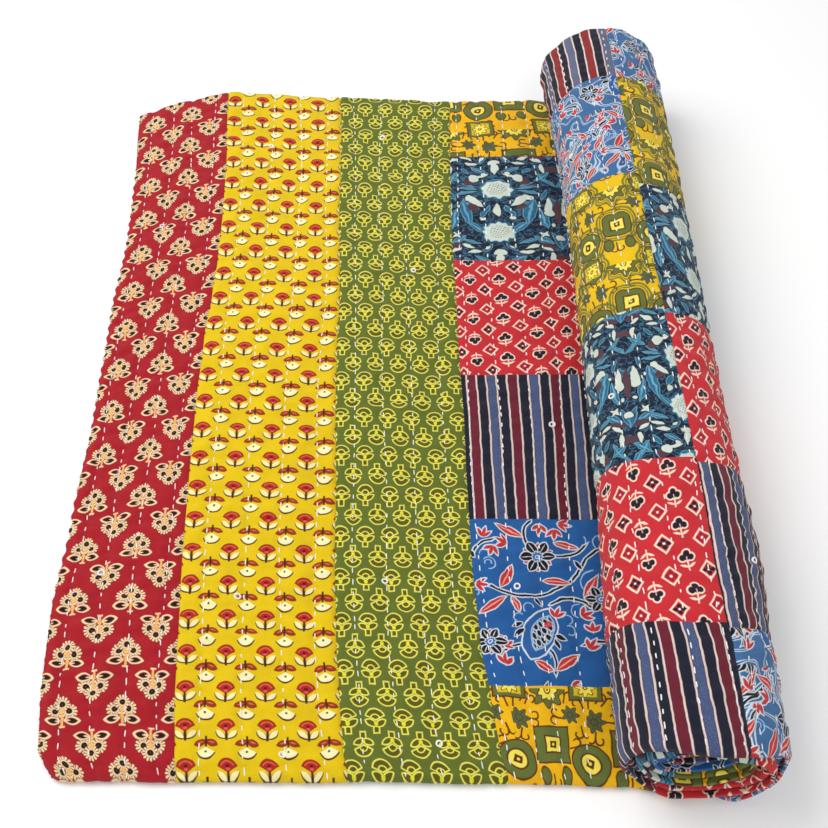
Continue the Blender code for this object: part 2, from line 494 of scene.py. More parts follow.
@dataclass
class Panel:
    """One sewn stretch of the quilt, folded in three, from seam to seam.

    Rows are the seams between patches, order the print of each row, and nudges each
    print's shift in metres, its turn in degrees and its scale. The other numbers are
    metres, but for edge_share, a share of the strip's width, and least_full, a share of
    the thickness.
    """

    name: str
    start: float
    end: float
    lie: Lie
    quilting: Quilting
    visible: Visible
    rows: tuple = ()
    finishes: tuple = ()
    order: tuple = (0,)
    nudges: tuple = ()
    step: float = 0.0028
    coarse: float = 0.026
    thick: float = 0.0029
    gap: float = 0.0008
    hem: float = 0.0035
    edge_share: float = 0.03
    edge_step: float = 0.006
    puff: float = 0.0011
    ground_height: float = 0.0008
    crease_height: float = 0.0007
    wide_height: float = 0.0007
    rim: float = 0.007
    scallop: float = 0.0010
    scallop_pitch: float = 0.0135
    inset: float = 0.0022
    seam_point: float = 0.0009
    least_full: float = 0.42
    # Seed, shortest wave and longest wave of each kind of unevenness
    ground: tuple = (7, 0.018, 0.060)
    creases: tuple = (11, 0.009, 0.024)
    wide: tuple = (5, 0.070, 0.160)
    seed: int = 1

    def crossings(self, fine: bool) -> np.ndarray:
        """Places across the strip where a layer has points.

        Args:
            fine: True for the layer that shows.

        Returns:
            Shares of the strip's width, with the seam rows among them.
        """
        spacing = self.step if fine else self.coarse
        stops = [0.0, self.edge_share, *self.rows, 1.0 - self.edge_share, 1.0]
        found = [0.0]
        for here, there in zip(stops, stops[1:]):
            edge = here == 0.0 or there == 1.0
            pace = min(spacing, self.edge_step) if edge else spacing
            count = max(1, round((there - here) * STRIP / pace))
            found += list(here + (there - here) * np.arange(1, count + 1) / count)
        return np.array(found)

    def ribs(self) -> dict[str, np.ndarray]:
        """Points along the middle of the cloth, from the lower hem to the upper one.

        Returns:
            Share, offset, height, layer and place along the print of each point.
        """
        fold = self.thick + self.gap / 2.0
        bend = (self.thick + self.gap) / 2.0
        half = self.thick / 2.0
        share, offset, height, layer, print_y = [], [], [], [], []

        def add(
            shares: float | np.ndarray, offsets: np.ndarray, heights: np.ndarray, number: float
        ) -> None:
            """Add points to the lists, with the print running on round a fold.

            Args:
                shares: Places across the strip.
                offsets: Metres to add to those places.
                heights: Heights over the strip's lower face.
                number: The layer, or a half between two of them at a fold.
            """
            shares, offsets, heights = np.broadcast_arrays(shares, offsets, heights)
            share.extend(shares)
            offset.extend(offsets)
            height.extend(heights)
            layer.extend([number] * len(shares))
            print_y.extend(shares * STRIP + offsets)

        def run(number: int, forwards: bool, near: float, far: float) -> None:
            """Add one layer between its two ends.

            Args:
                number: The layer.
                forwards: True where it runs from the near edge to the far one.
                near: How far its near end stands in from the edge.
                far: How far its far end stands in.
            """
            fine = (number == 2 and self.visible is Visible.UPPER) or (
                number == 0 and self.visible is Visible.OUTER
            )
            spots = self.crossings(fine)
            ends = near * np.clip(1.0 - spots / self.edge_share, 0.0, 1.0)
            ends = ends - far * np.clip((spots - 1.0) / self.edge_share + 1.0, 0.0, 1.0)
            level = half + number * (self.thick + self.gap)
            if not forwards:
                spots, ends = spots[::-1], ends[::-1]
            add(spots, ends, np.full(len(spots), level), number)

        turns = np.radians((-60.0, -30.0, 0.0, 30.0, 60.0))
        run(0, True, self.hem, fold)
        middle = half + bend
        add(1.0, bend * np.cos(turns) - fold, middle + bend * np.sin(turns), 0.5)
        run(1, False, fold, fold)
        middle = half + 3.0 * bend
        add(0.0, fold - bend * np.cos(turns), middle + bend * np.sin(turns), 1.5)
        run(2, True, fold, self.hem)
        names = ("share", "offset", "height", "layer", "print_y")
        lists = (share, offset, height, layer, print_y)
        return {name: np.array(values, float) for name, values in zip(names, lists)}

    def stations(self) -> np.ndarray:
        """Distances along the strip where the panel has points, closer at its seams."""
        inner = (self.start + self.inset, self.end - self.inset)
        count = max(2, round((inner[1] - inner[0]) / self.step))
        between = np.linspace(*inner, count + 1)
        lead = (self.start, self.start + self.seam_point)
        tail = (self.end - self.seam_point, self.end)
        return np.concatenate((lead, between, tail))

    def relief(self, distance: np.ndarray, along: np.ndarray) -> tuple[np.ndarray, np.ndarray]:
        """Fullness of the cloth and how far its middle lifts towards the open air.

        Args:
            distance: Distances along the strip.
            along: Distances from the near edge.

        Returns:
            Share of the full thickness, and the lift in metres.
        """
        full = self.quilting.loft(distance, along)
        for row in self.rows:
            away = np.abs(along - row * STRIP)
            seam = np.exp(-((away / self.quilting.seam_groove) ** 2))
            full = np.minimum(full, 1.0 - 0.75 * seam)
        ground = hummocks(distance, along, *self.ground)
        creases = hummocks(0.35 * distance, along, *self.creases)
        wide = hummocks(distance, along, *self.wide)
        uneven = self.ground_height * ground + self.crease_height * creases
        lift = full * (self.puff + uneven) + self.wide_height * wide
        rim = eased(distance / self.rim)
        full = full * (0.35 + 0.65 * rim)
        full = self.least_full + (1.0 - self.least_full) * full
        return full, np.maximum(lift, -0.0003) * rim

    def face(self, distance: np.ndarray, along: np.ndarray, lift: np.ndarray) -> np.ndarray:
        """Points on or over the face that shows.

        Args:
            distance: Distances along the strip.
            along: Distances from the near edge.
            lift: Height over the face.

        Returns:
            Points, in an array with a last axis of three.
        """
        full, raised = self.relief(distance, along)
        out = raised + full * self.thick / 2.0 + lift
        if self.visible is Visible.UPPER:
            rise = 2.5 * self.thick + 2.0 * self.gap + out
            layer = np.full_like(rise, 2.0)
        else:
            rise = self.thick / 2.0 - out
            layer = np.zeros_like(rise)
        share = along / STRIP
        return self.lie.place(distance, share, np.zeros_like(share), rise, layer)

    def build(self) -> bpy.types.Object:
        """Make the panel as one thin sheet on its folds.

        Returns:
            The finished object, at the origin.
        """
        ribs = self.ribs()
        distance = self.stations()[:, None]
        layer = ribs["layer"][None, :]
        share = ribs["share"][None, :]
        offset = ribs["offset"][None, :]
        along = share * STRIP + offset
        full, raised = self.relief(distance, along)
        shows = 2.0 if self.visible is Visible.UPPER else 0.0
        upward = 1.0 if self.visible is Visible.UPPER else -1.0
        on_face = np.clip(1.0 - np.abs(layer - shows) * 2.0, 0.0, 1.0)
        if self.visible is Visible.NONE:
            on_face = on_face * 0.0
        rise = ribs["height"][None, :] + upward * raised * on_face
        beat = 2.0 * np.pi * along / self.scallop_pitch + 2.0 * np.sin(13.0 * along)
        scallop = self.scallop * np.sin(beat)
        places = self.lie.place(distance, share, offset, rise, layer)
        places[..., 0] += scallop * (1.0 - eased(distance / self.rim))
        scale = self.lie.winding.at(distance)[4]
        count_s, count_r = places.shape[:2]
        work = bmesh.new()
        bmesh.ops.create_grid(work, x_segments=count_r - 1, y_segments=count_s - 1, size=0.5)
        mesh = bpy.data.meshes.new(f"{self.name}_cloth")
        work.to_mesh(mesh)
        work.free()
        mesh.vertices.foreach_set("co", places.reshape(-1).astype(np.float32))
        corner = np.zeros(len(mesh.loops), np.int32)
        mesh.loops.foreach_get("vertex_index", corner)
        flat = np.stack(np.broadcast_arrays(distance, ribs["print_y"][None, :]), axis=-1)
        self.dress(mesh, corner, flat.reshape(-1, 2))
        mesh.update()
        thing = put(mesh.name, mesh)
        weights = np.clip(full * scale, 0.0, 1.0)
        self.thicken(thing, np.broadcast_to(weights, (count_s, count_r)).reshape(-1))
        return thing

    def thicken(self, thing: bpy.types.Object, weights: np.ndarray) -> None:
        """Give the sheet its thickness, less of it where it is sewn.

        Args:
            thing: The sheet.
            weights: Share of the full thickness at each vertex.
        """
        group = thing.vertex_groups.new(name="fullness")
        levels = 64
        for level in range(1, levels + 1):
            picked = np.nonzero(np.round(weights * float(levels)) == level)[0]
            if len(picked):
                group.add(picked.tolist(), level / levels, "REPLACE")
        solid = thing.modifiers.new("thickness", "SOLIDIFY")
        solid.thickness = self.thick
        solid.offset = 0.0
        solid.vertex_group = "fullness"
        solid.thickness_vertex_group = 0.0

    def dress(self, mesh: bpy.types.Mesh, corner: np.ndarray, flat: np.ndarray) -> None:
        """Give each patch its print, and the mesh the coordinates that carry it.

        Args:
            mesh: The panel's mesh.
            corner: Vertex of each face corner.
            flat: Cloth coordinates of each vertex.
        """
        for finish in self.finishes:
            mesh.materials.append(finish)
        corners = flat[corner].reshape(-1, 4, 2)
        row = np.searchsorted(np.array(self.rows) * STRIP, corners.mean(axis=1)[:, 1])
        chosen = np.array(self.order)[np.clip(row, 0, len(self.order) - 1)]
        mesh.polygons.foreach_set("material_index", chosen.astype(np.int32))
        chart = mesh.uv_layers.new(name="cloth")
        chart.uv.foreach_set("vector", self.local(corners, row).reshape(-1).astype(np.float32))
        mesh.polygons.foreach_set("use_smooth", np.ones(len(mesh.polygons), bool))

    def local(self, corners: np.ndarray, row: np.ndarray) -> np.ndarray:
        """Where each face corner lies on its own patch, as the print is laid there.

        Args:
            corners: Cloth coordinates of the four corners of each face.
            row: The patch of each face.

        Returns:
            Coordinates from the patch's middle, or from the strip's start.
        """
        origin = np.array([(self.start, 0.0)])
        if self.rows:
            ends = np.array((0.0, *self.rows, 1.0)) * STRIP
            middle_y = (ends[:-1] + ends[1:]) / 2.0
            middle_y[0] = ends[1] - HALF_PATCH
            middle_y[-1] = ends[-2] + HALF_PATCH
            middle_x = (self.start + self.end) / 2.0
            origin = np.stack((np.full_like(middle_y, middle_x), middle_y), axis=1)[row]
        local = corners - origin.reshape(-1, 1, 2)
        if self.nudges:
            shift_x, shift_y, turn, scale = np.array(self.nudges)[row].T[:, :, None]
            x = (local[..., 0] - shift_x) / scale
            y = (local[..., 1] - shift_y) / scale
            cosine = np.cos(np.radians(turn))
            sine = np.sin(np.radians(turn))
            local = np.stack((x * cosine - y * sine, x * sine + y * cosine), axis=-1)
        if self.visible is Visible.OUTER:
            local[..., 0] *= -1.0
        return local


def gathered(shapes: list[Field]) -> Field:
    """Join many printed shapes into one.

    Args:
        shapes: The shapes, one at least.

    Returns:
        Whatever lies in any of them.
    """
    whole = shapes[0]
    for shape in shapes[1:]:
        whole = whole.joined(shape)
    return whole


def linear(ink: Ink) -> tuple[float, float, float, float]:
    """Turn a colour of 0 to 255 a part into Blender's own.

    Args:
        ink: The colour.

    Returns:
        Its linear parts, and full cover.
    """
    parts = [part / 255.0 for part in ink]
    light = [part / 12.92 if part <= 0.04045 else ((part + 0.055) / 1.055) ** 2.4 for part in parts]
    return (*light, 1.0)


@dataclass(frozen=True)
class Field:
    """A number at every point of the cloth; below zero is inside a printed shape."""

    block: PrintBlock
    socket: bpy.types.NodeSocket

    def __add__(self, other: Field | float) -> Field:
        """Sum."""
        return self.block.math("ADD", self, other)

    def __sub__(self, other: Field | float) -> Field:
        """Difference, which also grows a shape by that many millimetres."""
        return self.block.math("SUBTRACT", self, other)

    def __mul__(self, other: Field | float) -> Field:
        """Product."""
        return self.block.math("MULTIPLY", self, other)

    def size(self) -> Field:
        """Value without its sign."""
        return self.block.math("ABSOLUTE", self)

    def joined(self, other: Field) -> Field:
        """Either of two shapes."""
        return self.block.math("MINIMUM", self, other)

    def within(self, other: Field) -> Field:
        """What two shapes share."""
        return self.block.math("MAXIMUM", self, other)

    def without(self, other: Field) -> Field:
        """This shape with another cut out."""
        return self.within(other * -1.0)

    def outline(self, half: float) -> Field:
        """A line along the shape's edge, half as wide to each side."""
        return self.size() - half


@dataclass(frozen=True)
class Spot:
    """A place on the cloth in millimetres, across and along."""

    block: PrintBlock
    socket: bpy.types.NodeSocket

    def moved(self, x: float, y: float) -> Spot:
        """The place seen from a point."""
        return self.block.vector("SUBTRACT", self, (x, y, 0.0))

    def repeated(self, across: float, along: float) -> Spot:
        """The place within a motif that repeats.

        Args:
            across: Its pitch across.
            along: Its pitch along.

        Returns:
            The place, seen from the nearest motif.
        """
        far = (across / 2.0, along / 2.0, 0.0)
        near = (-across / 2.0, -along / 2.0, 0.0)
        return self.block.vector("WRAP", self, far, near)

    def scaled(self, x: float, y: float) -> Spot:
        """The place with each direction multiplied."""
        return self.block.vector("MULTIPLY", self, (x, y, 1.0))

    def sloped(self, slope: float) -> Spot:
        """The place with rows that climb to one side.

        Args:
            slope: Climb for each step across.

        Returns:
            The place on upright rows.
        """
        across, along = self.parts()
        node = self.block.tree.nodes.new("ShaderNodeCombineXYZ")
        self.block.feed(node.inputs["X"], across)
        self.block.feed(node.inputs["Y"], along - across * slope)
        return Spot(self.block, node.outputs["Vector"])

    def mirrored(self) -> Spot:
        """The place with its left half folded over on the right one."""
        return self.block.vector("MAXIMUM", self, self.scaled(-1.0, 1.0))

    def turned(self, degrees: float) -> Spot:
        """The place turned about the origin.

        Args:
            degrees: The turn, counterclockwise.

        Returns:
            The turned place.
        """
        node = self.block.tree.nodes.new("ShaderNodeVectorRotate")
        node.rotation_type = "Z_AXIS"
        node.inputs["Angle"].default_value = math.radians(degrees)
        self.block.tree.links.new(self.socket, node.inputs["Vector"])
        return Spot(self.block, node.outputs["Vector"])

    def parts(self) -> tuple[Field, Field]:
        """Distances across and along."""
        node = self.block.tree.nodes.new("ShaderNodeSeparateXYZ")
        self.block.tree.links.new(self.socket, node.inputs[0])
        return Field(self.block, node.outputs[0]), Field(self.block, node.outputs[1])

    def away(self, x: float = 0.0, y: float = 0.0) -> Field:
        """Distance from a point."""
        return self.block.vector("DISTANCE", self, (x, y, 0.0))

    def disc(self, x: float, y: float, radius: float) -> Field:
        """A round shape."""
        return self.away(x, y) - radius

    def side(self, x: float, y: float, reach: float) -> Field:
        """All that lies less than reach along the direction x, y."""
        size = math.hypot(x, y)
        return self.block.vector("DOT_PRODUCT", self, (x / size, y / size, 0.0)) - reach

    def leaf(self, root: tuple[float, float], tip: tuple[float, float], width: float) -> Field:
        """A pointed leaf: what two large discs share.

        Args:
            root: One end.
            tip: The other end.
            width: Width at its middle.

        Returns:
            The shape.
        """
        half = math.dist(root, tip) / 2.0
        radius = (half * half + width * width / 4.0) / width
        shift = (radius - width / 2.0) / (2.0 * half)
        middle = ((root[0] + tip[0]) / 2.0, (root[1] + tip[1]) / 2.0)
        aside = (-(tip[1] - root[1]) * shift, (tip[0] - root[0]) * shift)
        one = self.away(middle[0] + aside[0], middle[1] + aside[1])
        other = self.away(middle[0] - aside[0], middle[1] - aside[1])
        return one.within(other) - radius

    def bar(self, x: float, y: float, half_x: float, half_y: float) -> Field:
        """An upright rectangle.

        Args:
            x: Its middle across.
            y: Its middle along.
            half_x: Half its width.
            half_y: Half its height.

        Returns:
            The shape.
        """
        from_middle = self.block.vector("ABSOLUTE", self.moved(x, y))
        across, along = self.block.vector("SUBTRACT", from_middle, (half_x, half_y, 0.0)).parts()
        return across.within(along)

    def arc(
        self, x: float, y: float, radius: float, half: float, facing: tuple[float, float], reach: float
    ) -> Field:
        """A stretch of a drawn circle.

        Args:
            x: Middle of the circle.
            y: Middle of the circle.
            radius: Its radius.
            half: Half the line's width.
            facing: Direction from the middle to the stretch.
            reach: How far along that direction the stretch starts.

        Returns:
            The shape.
        """
        seen = self.moved(x, y)
        kept = seen.side(-facing[0], -facing[1], -reach)
        return (seen.away() - radius).outline(half).within(kept)

    def sector(self, count: int) -> Spot:
        """The place folded into half of one of so many equal sectors, its middle along +X.

        Args:
            count: Number of sectors.

        Returns:
            The folded place.
        """
        across, along = self.parts()
        angle = self.block.math("PINGPONG", self.block.math("ARCTAN2", along, across), math.pi / count)
        away = self.away()
        node = self.block.tree.nodes.new("ShaderNodeCombineXYZ")
        self.block.feed(node.inputs["X"], away * self.block.math("COSINE", angle))
        self.block.feed(node.inputs["Y"], away * self.block.math("SINE", angle))
        return Spot(self.block, node.outputs["Vector"])

    def petals(self, count: int, radius: float, swing: float) -> tuple[Field, Field, Field]:
        """A round flower with a lobed edge.

        Args:
            count: Number of lobes.
            radius: Mean radius.
            swing: How far the lobes stand out and in.

        Returns:
            The shape, the distance from its middle and the lobes' wave of -1 to 1.
        """
        across, along = self.parts()
        wave = self.block.math("COSINE", self.block.math("ARCTAN2", along, across) * float(count))
        away = self.away()
        return away - self.block.math("MULTIPLY_ADD", wave, swing, radius), away, wave


class PrintBlock:
    """A block-printed cotton: inks laid over a ground, on the cloth's own coordinates."""

    def __init__(self, name: str, ground: Ink, wander: float = 1.1) -> None:
        """Lay out the ground.

        Args:
            name: Name of the material.
            ground: Its colour.
            wander: How unevenly the block is pressed, in millimetres.
        """
        self.finish = bpy.data.materials.new(name)
        self.finish.use_nodes = True
        self.tree = self.finish.node_tree
        self.shader = self.tree.nodes["Principled BSDF"]
        chart = self.tree.nodes.new("ShaderNodeUVMap")
        chart.uv_map = "cloth"
        self.plain = self.vector("MULTIPLY", Spot(self, chart.outputs["UV"]), (1000.0,) * 3)
        hand = Spot(self, self.noise(1.0 / 13.0, 2.0, 0.55).outputs["Color"])
        self.cloth = self.vector("MULTIPLY_ADD", hand, (2.0 * wander,) * 3, self.plain)
        self.colour = linear(ground)

    def noise(self, scale: float, detail: float, roughness: float) -> bpy.types.Node:
        """Soft random cloud on the cloth.

        Args:
            scale: Clouds in a millimetre.
            detail: Number of finer clouds added.
            roughness: Their strength.

        Returns:
            The node.
        """
        node = self.tree.nodes.new("ShaderNodeTexNoise")
        node.inputs["Scale"].default_value = scale
        node.inputs["Detail"].default_value = detail
        node.inputs["Roughness"].default_value = roughness
        self.tree.links.new(self.plain.socket, node.inputs["Vector"])
        return node

    def feed(self, socket: bpy.types.NodeSocket, value: object) -> None:
        """Give a socket its value.

        Args:
            socket: An input.
            value: A number, a vector, or a field, place or output to link to it.
        """
        if isinstance(value, (Field, Spot)):
            self.tree.links.new(value.socket, socket)
        elif isinstance(value, bpy.types.NodeSocket):
            self.tree.links.new(value, socket)
        else:
            socket.default_value = value

    def math(self, kind: str, *values: object, clamp: bool = False) -> Field:
        """Work out a number at every point.

        Args:
            kind: Operation of the Math node.
            values: Fields, outputs and numbers, in the order of its inputs.
            clamp: True to hold the result between 0 and 1.

        Returns:
            The result.
        """
        node = self.tree.nodes.new("ShaderNodeMath")
        node.operation = kind
        node.use_clamp = clamp
        for socket, value in zip(node.inputs, values):
            self.feed(socket, value)
        return Field(self, node.outputs[0])

    def vector(self, kind: str, *values: object) -> Spot | Field:
        """Work out a place, or a number from places.

        Args:
            kind: Operation of the Vector Math node.
            values: Places, outputs and constant vectors, in the order of its inputs.

        Returns:
            The result: a field where the operation gives a number, otherwise a place.
        """
        node = self.tree.nodes.new("ShaderNodeVectorMath")
        node.operation = kind
        for socket, value in zip(node.inputs, values):
            self.feed(socket, value)
        if kind in ("DISTANCE", "LENGTH", "DOT_PRODUCT"):
            return Field(self, node.outputs["Value"])
        return Spot(self, node.outputs["Vector"])

    def blend(self, share: object, ink: object) -> None:
        """Mix another colour over all that is laid so far.

        Args:
            share: How much of it, from 0 to 1.
            ink: The colour.
        """
        node = self.tree.nodes.new("ShaderNodeMix")
        node.data_type = "RGBA"
        self.feed(node.inputs[0], share)
        self.feed(node.inputs[6], self.colour)
        self.feed(node.inputs[7], ink)
        self.colour = node.outputs[2]

    def lay(self, shape: Field, ink: Ink, strength: float = 1.0, soft: float = 0.35) -> None:
        """Print a shape.

        Args:
            shape: Field that is below zero inside it.
            ink: Its colour.
            strength: How well it covers.
            soft: Width of its soft edge, in millimetres.
        """
        share = self.math("MULTIPLY_ADD", shape, -0.5 / soft, 0.5, clamp=True)
        if strength < 1.0:
            share = share * strength
        self.blend(share, linear(ink))

    def rimmed(self, shape: Field, ink: Ink, rim: Ink, width: float) -> None:
        """Print a shape with a line of another colour round it."""
        self.lay(shape - width, rim)
        self.lay(shape, ink)

    def done(self) -> bpy.types.Material:
        """Fade and roughen the print as washed cotton is, and close the material.

        Returns:
            The material.
        """
        cloud = self.noise(1.0 / 24.0, 3.0, 0.6)
        fibre = self.noise(1.3, 2.0, 0.7)
        shade = self.math("MULTIPLY_ADD", cloud.outputs["Fac"], 0.34, 0.83)
        shade = self.math("MULTIPLY_ADD", fibre.outputs["Fac"], 0.30, shade - 0.15)
        tint = self.tree.nodes.new("ShaderNodeMix")
        tint.data_type = "RGBA"
        tint.blend_type = "MULTIPLY"
        tint.inputs[0].default_value = 1.0
        self.feed(tint.inputs[6], self.colour)
        self.feed(tint.inputs[7], shade)
        self.tree.links.new(tint.outputs[2], self.shader.inputs["Base Color"])
        weave = self.weave()
        crinkle = self.noise(1.0 / 3.2, 3.0, 0.6)
        height = self.math("MULTIPLY_ADD", crinkle.outputs["Fac"], 1.0, weave * 0.16)
        bump = self.tree.nodes.new("ShaderNodeBump")
        bump.inputs["Strength"].default_value = 0.55
        bump.inputs["Distance"].default_value = 0.0011
        self.feed(bump.inputs["Height"], height)
        self.tree.links.new(bump.outputs["Normal"], self.shader.inputs["Normal"])
        self.shader.inputs["Roughness"].default_value = 0.88
        self.shader.inputs["Specular IOR Level"].default_value = 0.25
        self.shader.inputs["Sheen Weight"].default_value = 0.10
        self.shader.inputs["Sheen Roughness"].default_value = 0.5
        return self.finish

    def weave(self) -> Field:
        """Plain weave: threads of half a millimetre over and under each other."""
        across, along = self.plain.parts()
        over = self.math("SINE", across * 12.0)
        under = self.math("SINE", along * 12.0)
        return over * under


CREAM: Ink = (246, 216, 170)
PEACH: Ink = (243, 184, 108)
NIGHT: Ink = (26, 12, 16)


@dataclass(frozen=True)
class BouquetPrint:
    """Crimson cotton with three-flower bouquets, every other row upside down."""

    across: float = 46.5
    along: float = 49.5

    def bouquet(self, block: PrintBlock, at: Spot) -> None:
        """Three flowers over two leaves on a short stem.

        Args:
            block: The print.
            at: Place, seen from the bouquet's middle.
        """
        wine: Ink = (120, 8, 22)
        half = at.mirrored()
        for seen, radius in ((half.moved(5.6, 0.0), 6.2), (at.moved(0.0, 5.8), 6.0)):
            flower, away, wave = seen.petals(13, radius, 0.45)
            block.rimmed(flower, CREAM, wine, 0.45)
            slot = (away - 4.95).outline(0.95).within(wave * 1.5 + 0.75)
            block.lay(slot, wine, 0.92, 0.25)
            block.lay((away - 3.65).outline(0.22), wine, 0.45)
            block.lay(away - 2.5, NIGHT)
            block.lay(away - 0.6, (120, 60, 40), 0.7)
        block.lay(at.disc(0.0, 0.6, 2.1), PEACH)
        block.lay(at.bar(0.0, -5.6, 0.95, 7.4), PEACH)
        block.lay(at.disc(0.0, -7.0, 1.9), PEACH)
        block.lay(at.bar(0.0, -13.2, 2.3, 0.7), CREAM)
        block.rimmed(half.leaf((1.2, -7.6), (14.6, -8.9), 7.4), CREAM, wine, 0.4)
        block.lay(half.leaf((2.8, -7.8), (12.3, -8.7), 4.9), (150, 24, 40))
        block.lay(half.leaf((3.6, -7.9), (11.6, -8.5), 3.9), NIGHT)
        block.lay(half.leaf((2.2, -7.9), (6.6, -8.2), 1.4), CREAM)

    def material(self) -> bpy.types.Material:
        """Print the cloth."""
        block = PrintBlock("crimson_bouquet_cotton", (169, 20, 33))
        first = block.cloth.moved(20.0, 8.0)
        self.bouquet(block, first.repeated(self.across, self.along))
        second = first.moved(self.across / 2.0, 20.0).scaled(1.0, -1.0)
        self.bouquet(block, second.repeated(self.across, self.along))
        return block.done()


@dataclass(frozen=True)
class SprigPrint:
    """Golden cotton with red fans on stems and hanging cream cups between them."""

    pitch: float = 31.2
    brown: Ink = (70, 30, 12)

    def fan(self, block: PrintBlock, at: Spot) -> None:
        """A red fan over two cream leaves.

        Args:
            block: The print.
            at: Place, seen from the fan's widest point.
        """
        half = at.mirrored()
        block.lay(half.leaf((0.2, -10.2), (8.4, -3.9), 5.4), self.brown)
        block.lay(half.leaf((0.9, -9.3), (8.0, -3.2), 4.2), (250, 236, 170))
        block.lay(at.bar(0.0, -7.6, 0.95, 4.0), self.brown)
        fan = at.disc(0.0, -1.7, 7.2).within(half.side(0.55, -0.84, 3.1))
        block.rimmed(fan, (178, 34, 30), (128, 40, 14), 0.6)
        rib = at.disc(0.0, -1.7, 5.5).outline(0.45).within(half.side(0.55, -0.84, 1.8))
        block.lay(rib, (226, 104, 60))
        block.lay(at.scaled(1.0, 1.5).disc(0.0, -2.6, 1.6), (232, 82, 84))
        block.lay(at.scaled(1.0, 1.4).disc(0.0, 0.9, 1.5), (96, 8, 14))

    def cup(self, block: PrintBlock, at: Spot) -> None:
        """A hanging cream cup under two red leaves.

        Args:
            block: The print.
            at: Place, seen from the cup's widest point.
        """
        half = at.mirrored()
        block.rimmed(half.leaf((-0.4, 8.6), (8.6, 4.9), 4.6), (160, 44, 24), (92, 28, 12), 0.45)
        block.lay(half.leaf((1.8, 8.0), (6.6, 6.4), 1.3), (226, 120, 70), 0.8)
        block.lay(at.bar(0.0, 8.0, 0.85, 4.2), self.brown)
        under = at.moved(0.0, -0.7)
        block.lay(under.disc(0.0, 1.8, 7.7).within(half.side(0.45, 0.89, 2.4)), self.brown)
        block.lay(at.disc(0.0, 1.9, 7.0).within(half.side(0.50, 0.87, 3.0)), (252, 242, 186))
        block.lay(at.disc(0.0, 0.0, 0.95), (70, 90, 40))

    def material(self) -> bpy.types.Material:
        """Print the cloth."""
        block = PrintBlock("golden_sprig_cotton", (230, 195, 0), 0.9)
        first = block.cloth.moved(9.0, 12.0)
        self.fan(block, first.repeated(self.pitch, self.pitch))
        second = first.moved(self.pitch / 2.0, 11.6)
        self.cup(block, second.repeated(self.pitch, self.pitch))
        return block.done()


@dataclass(frozen=True)
class FanPrint:
    """Olive cotton with fans drawn in yellow line, every other row upside down."""

    across: float = 22.8
    along: float = 41.5

    def fan(self, block: PrintBlock, at: Spot) -> None:
        """One fan on two leaves and an open stem.

        Args:
            block: The print.
            at: Place, seen from the fan's eye.
        """
        half = at.mirrored()
        line: Ink = (240, 233, 96)
        inside: Ink = (92, 88, 14)
        fan = at.disc(0.0, -1.0, 7.6).within(half.side(0.46, -0.89, 2.6))
        leaf = half.leaf((-0.6, -7.9), (8.0, -2.9), 5.2)
        stem = at.bar(0.0, -11.0, 2.2, 2.9)
        block.lay(stem, inside)
        block.lay(stem.outline(0.55), line)
        block.lay(leaf, inside)
        block.lay(leaf.outline(0.55), line)
        block.lay(fan, inside)
        block.lay(fan.outline(0.55), line)
        block.lay(at.disc(0.0, -1.2, 3.2).outline(0.5).within(fan), line)
        block.lay(at.disc(0.0, -6.0, 1.6), (232, 226, 40))

    def material(self) -> bpy.types.Material:
        """Print the cloth."""
        block = PrintBlock("olive_fan_cotton", (98, 111, 38), 0.9)
        first = block.cloth.moved(6.0, 10.0)
        self.fan(block, first.repeated(self.across, self.along))
        second = first.moved(self.across / 2.0, 15.5).scaled(1.0, -1.0)
        self.fan(block, second.repeated(self.across, self.along))
        return block.done()


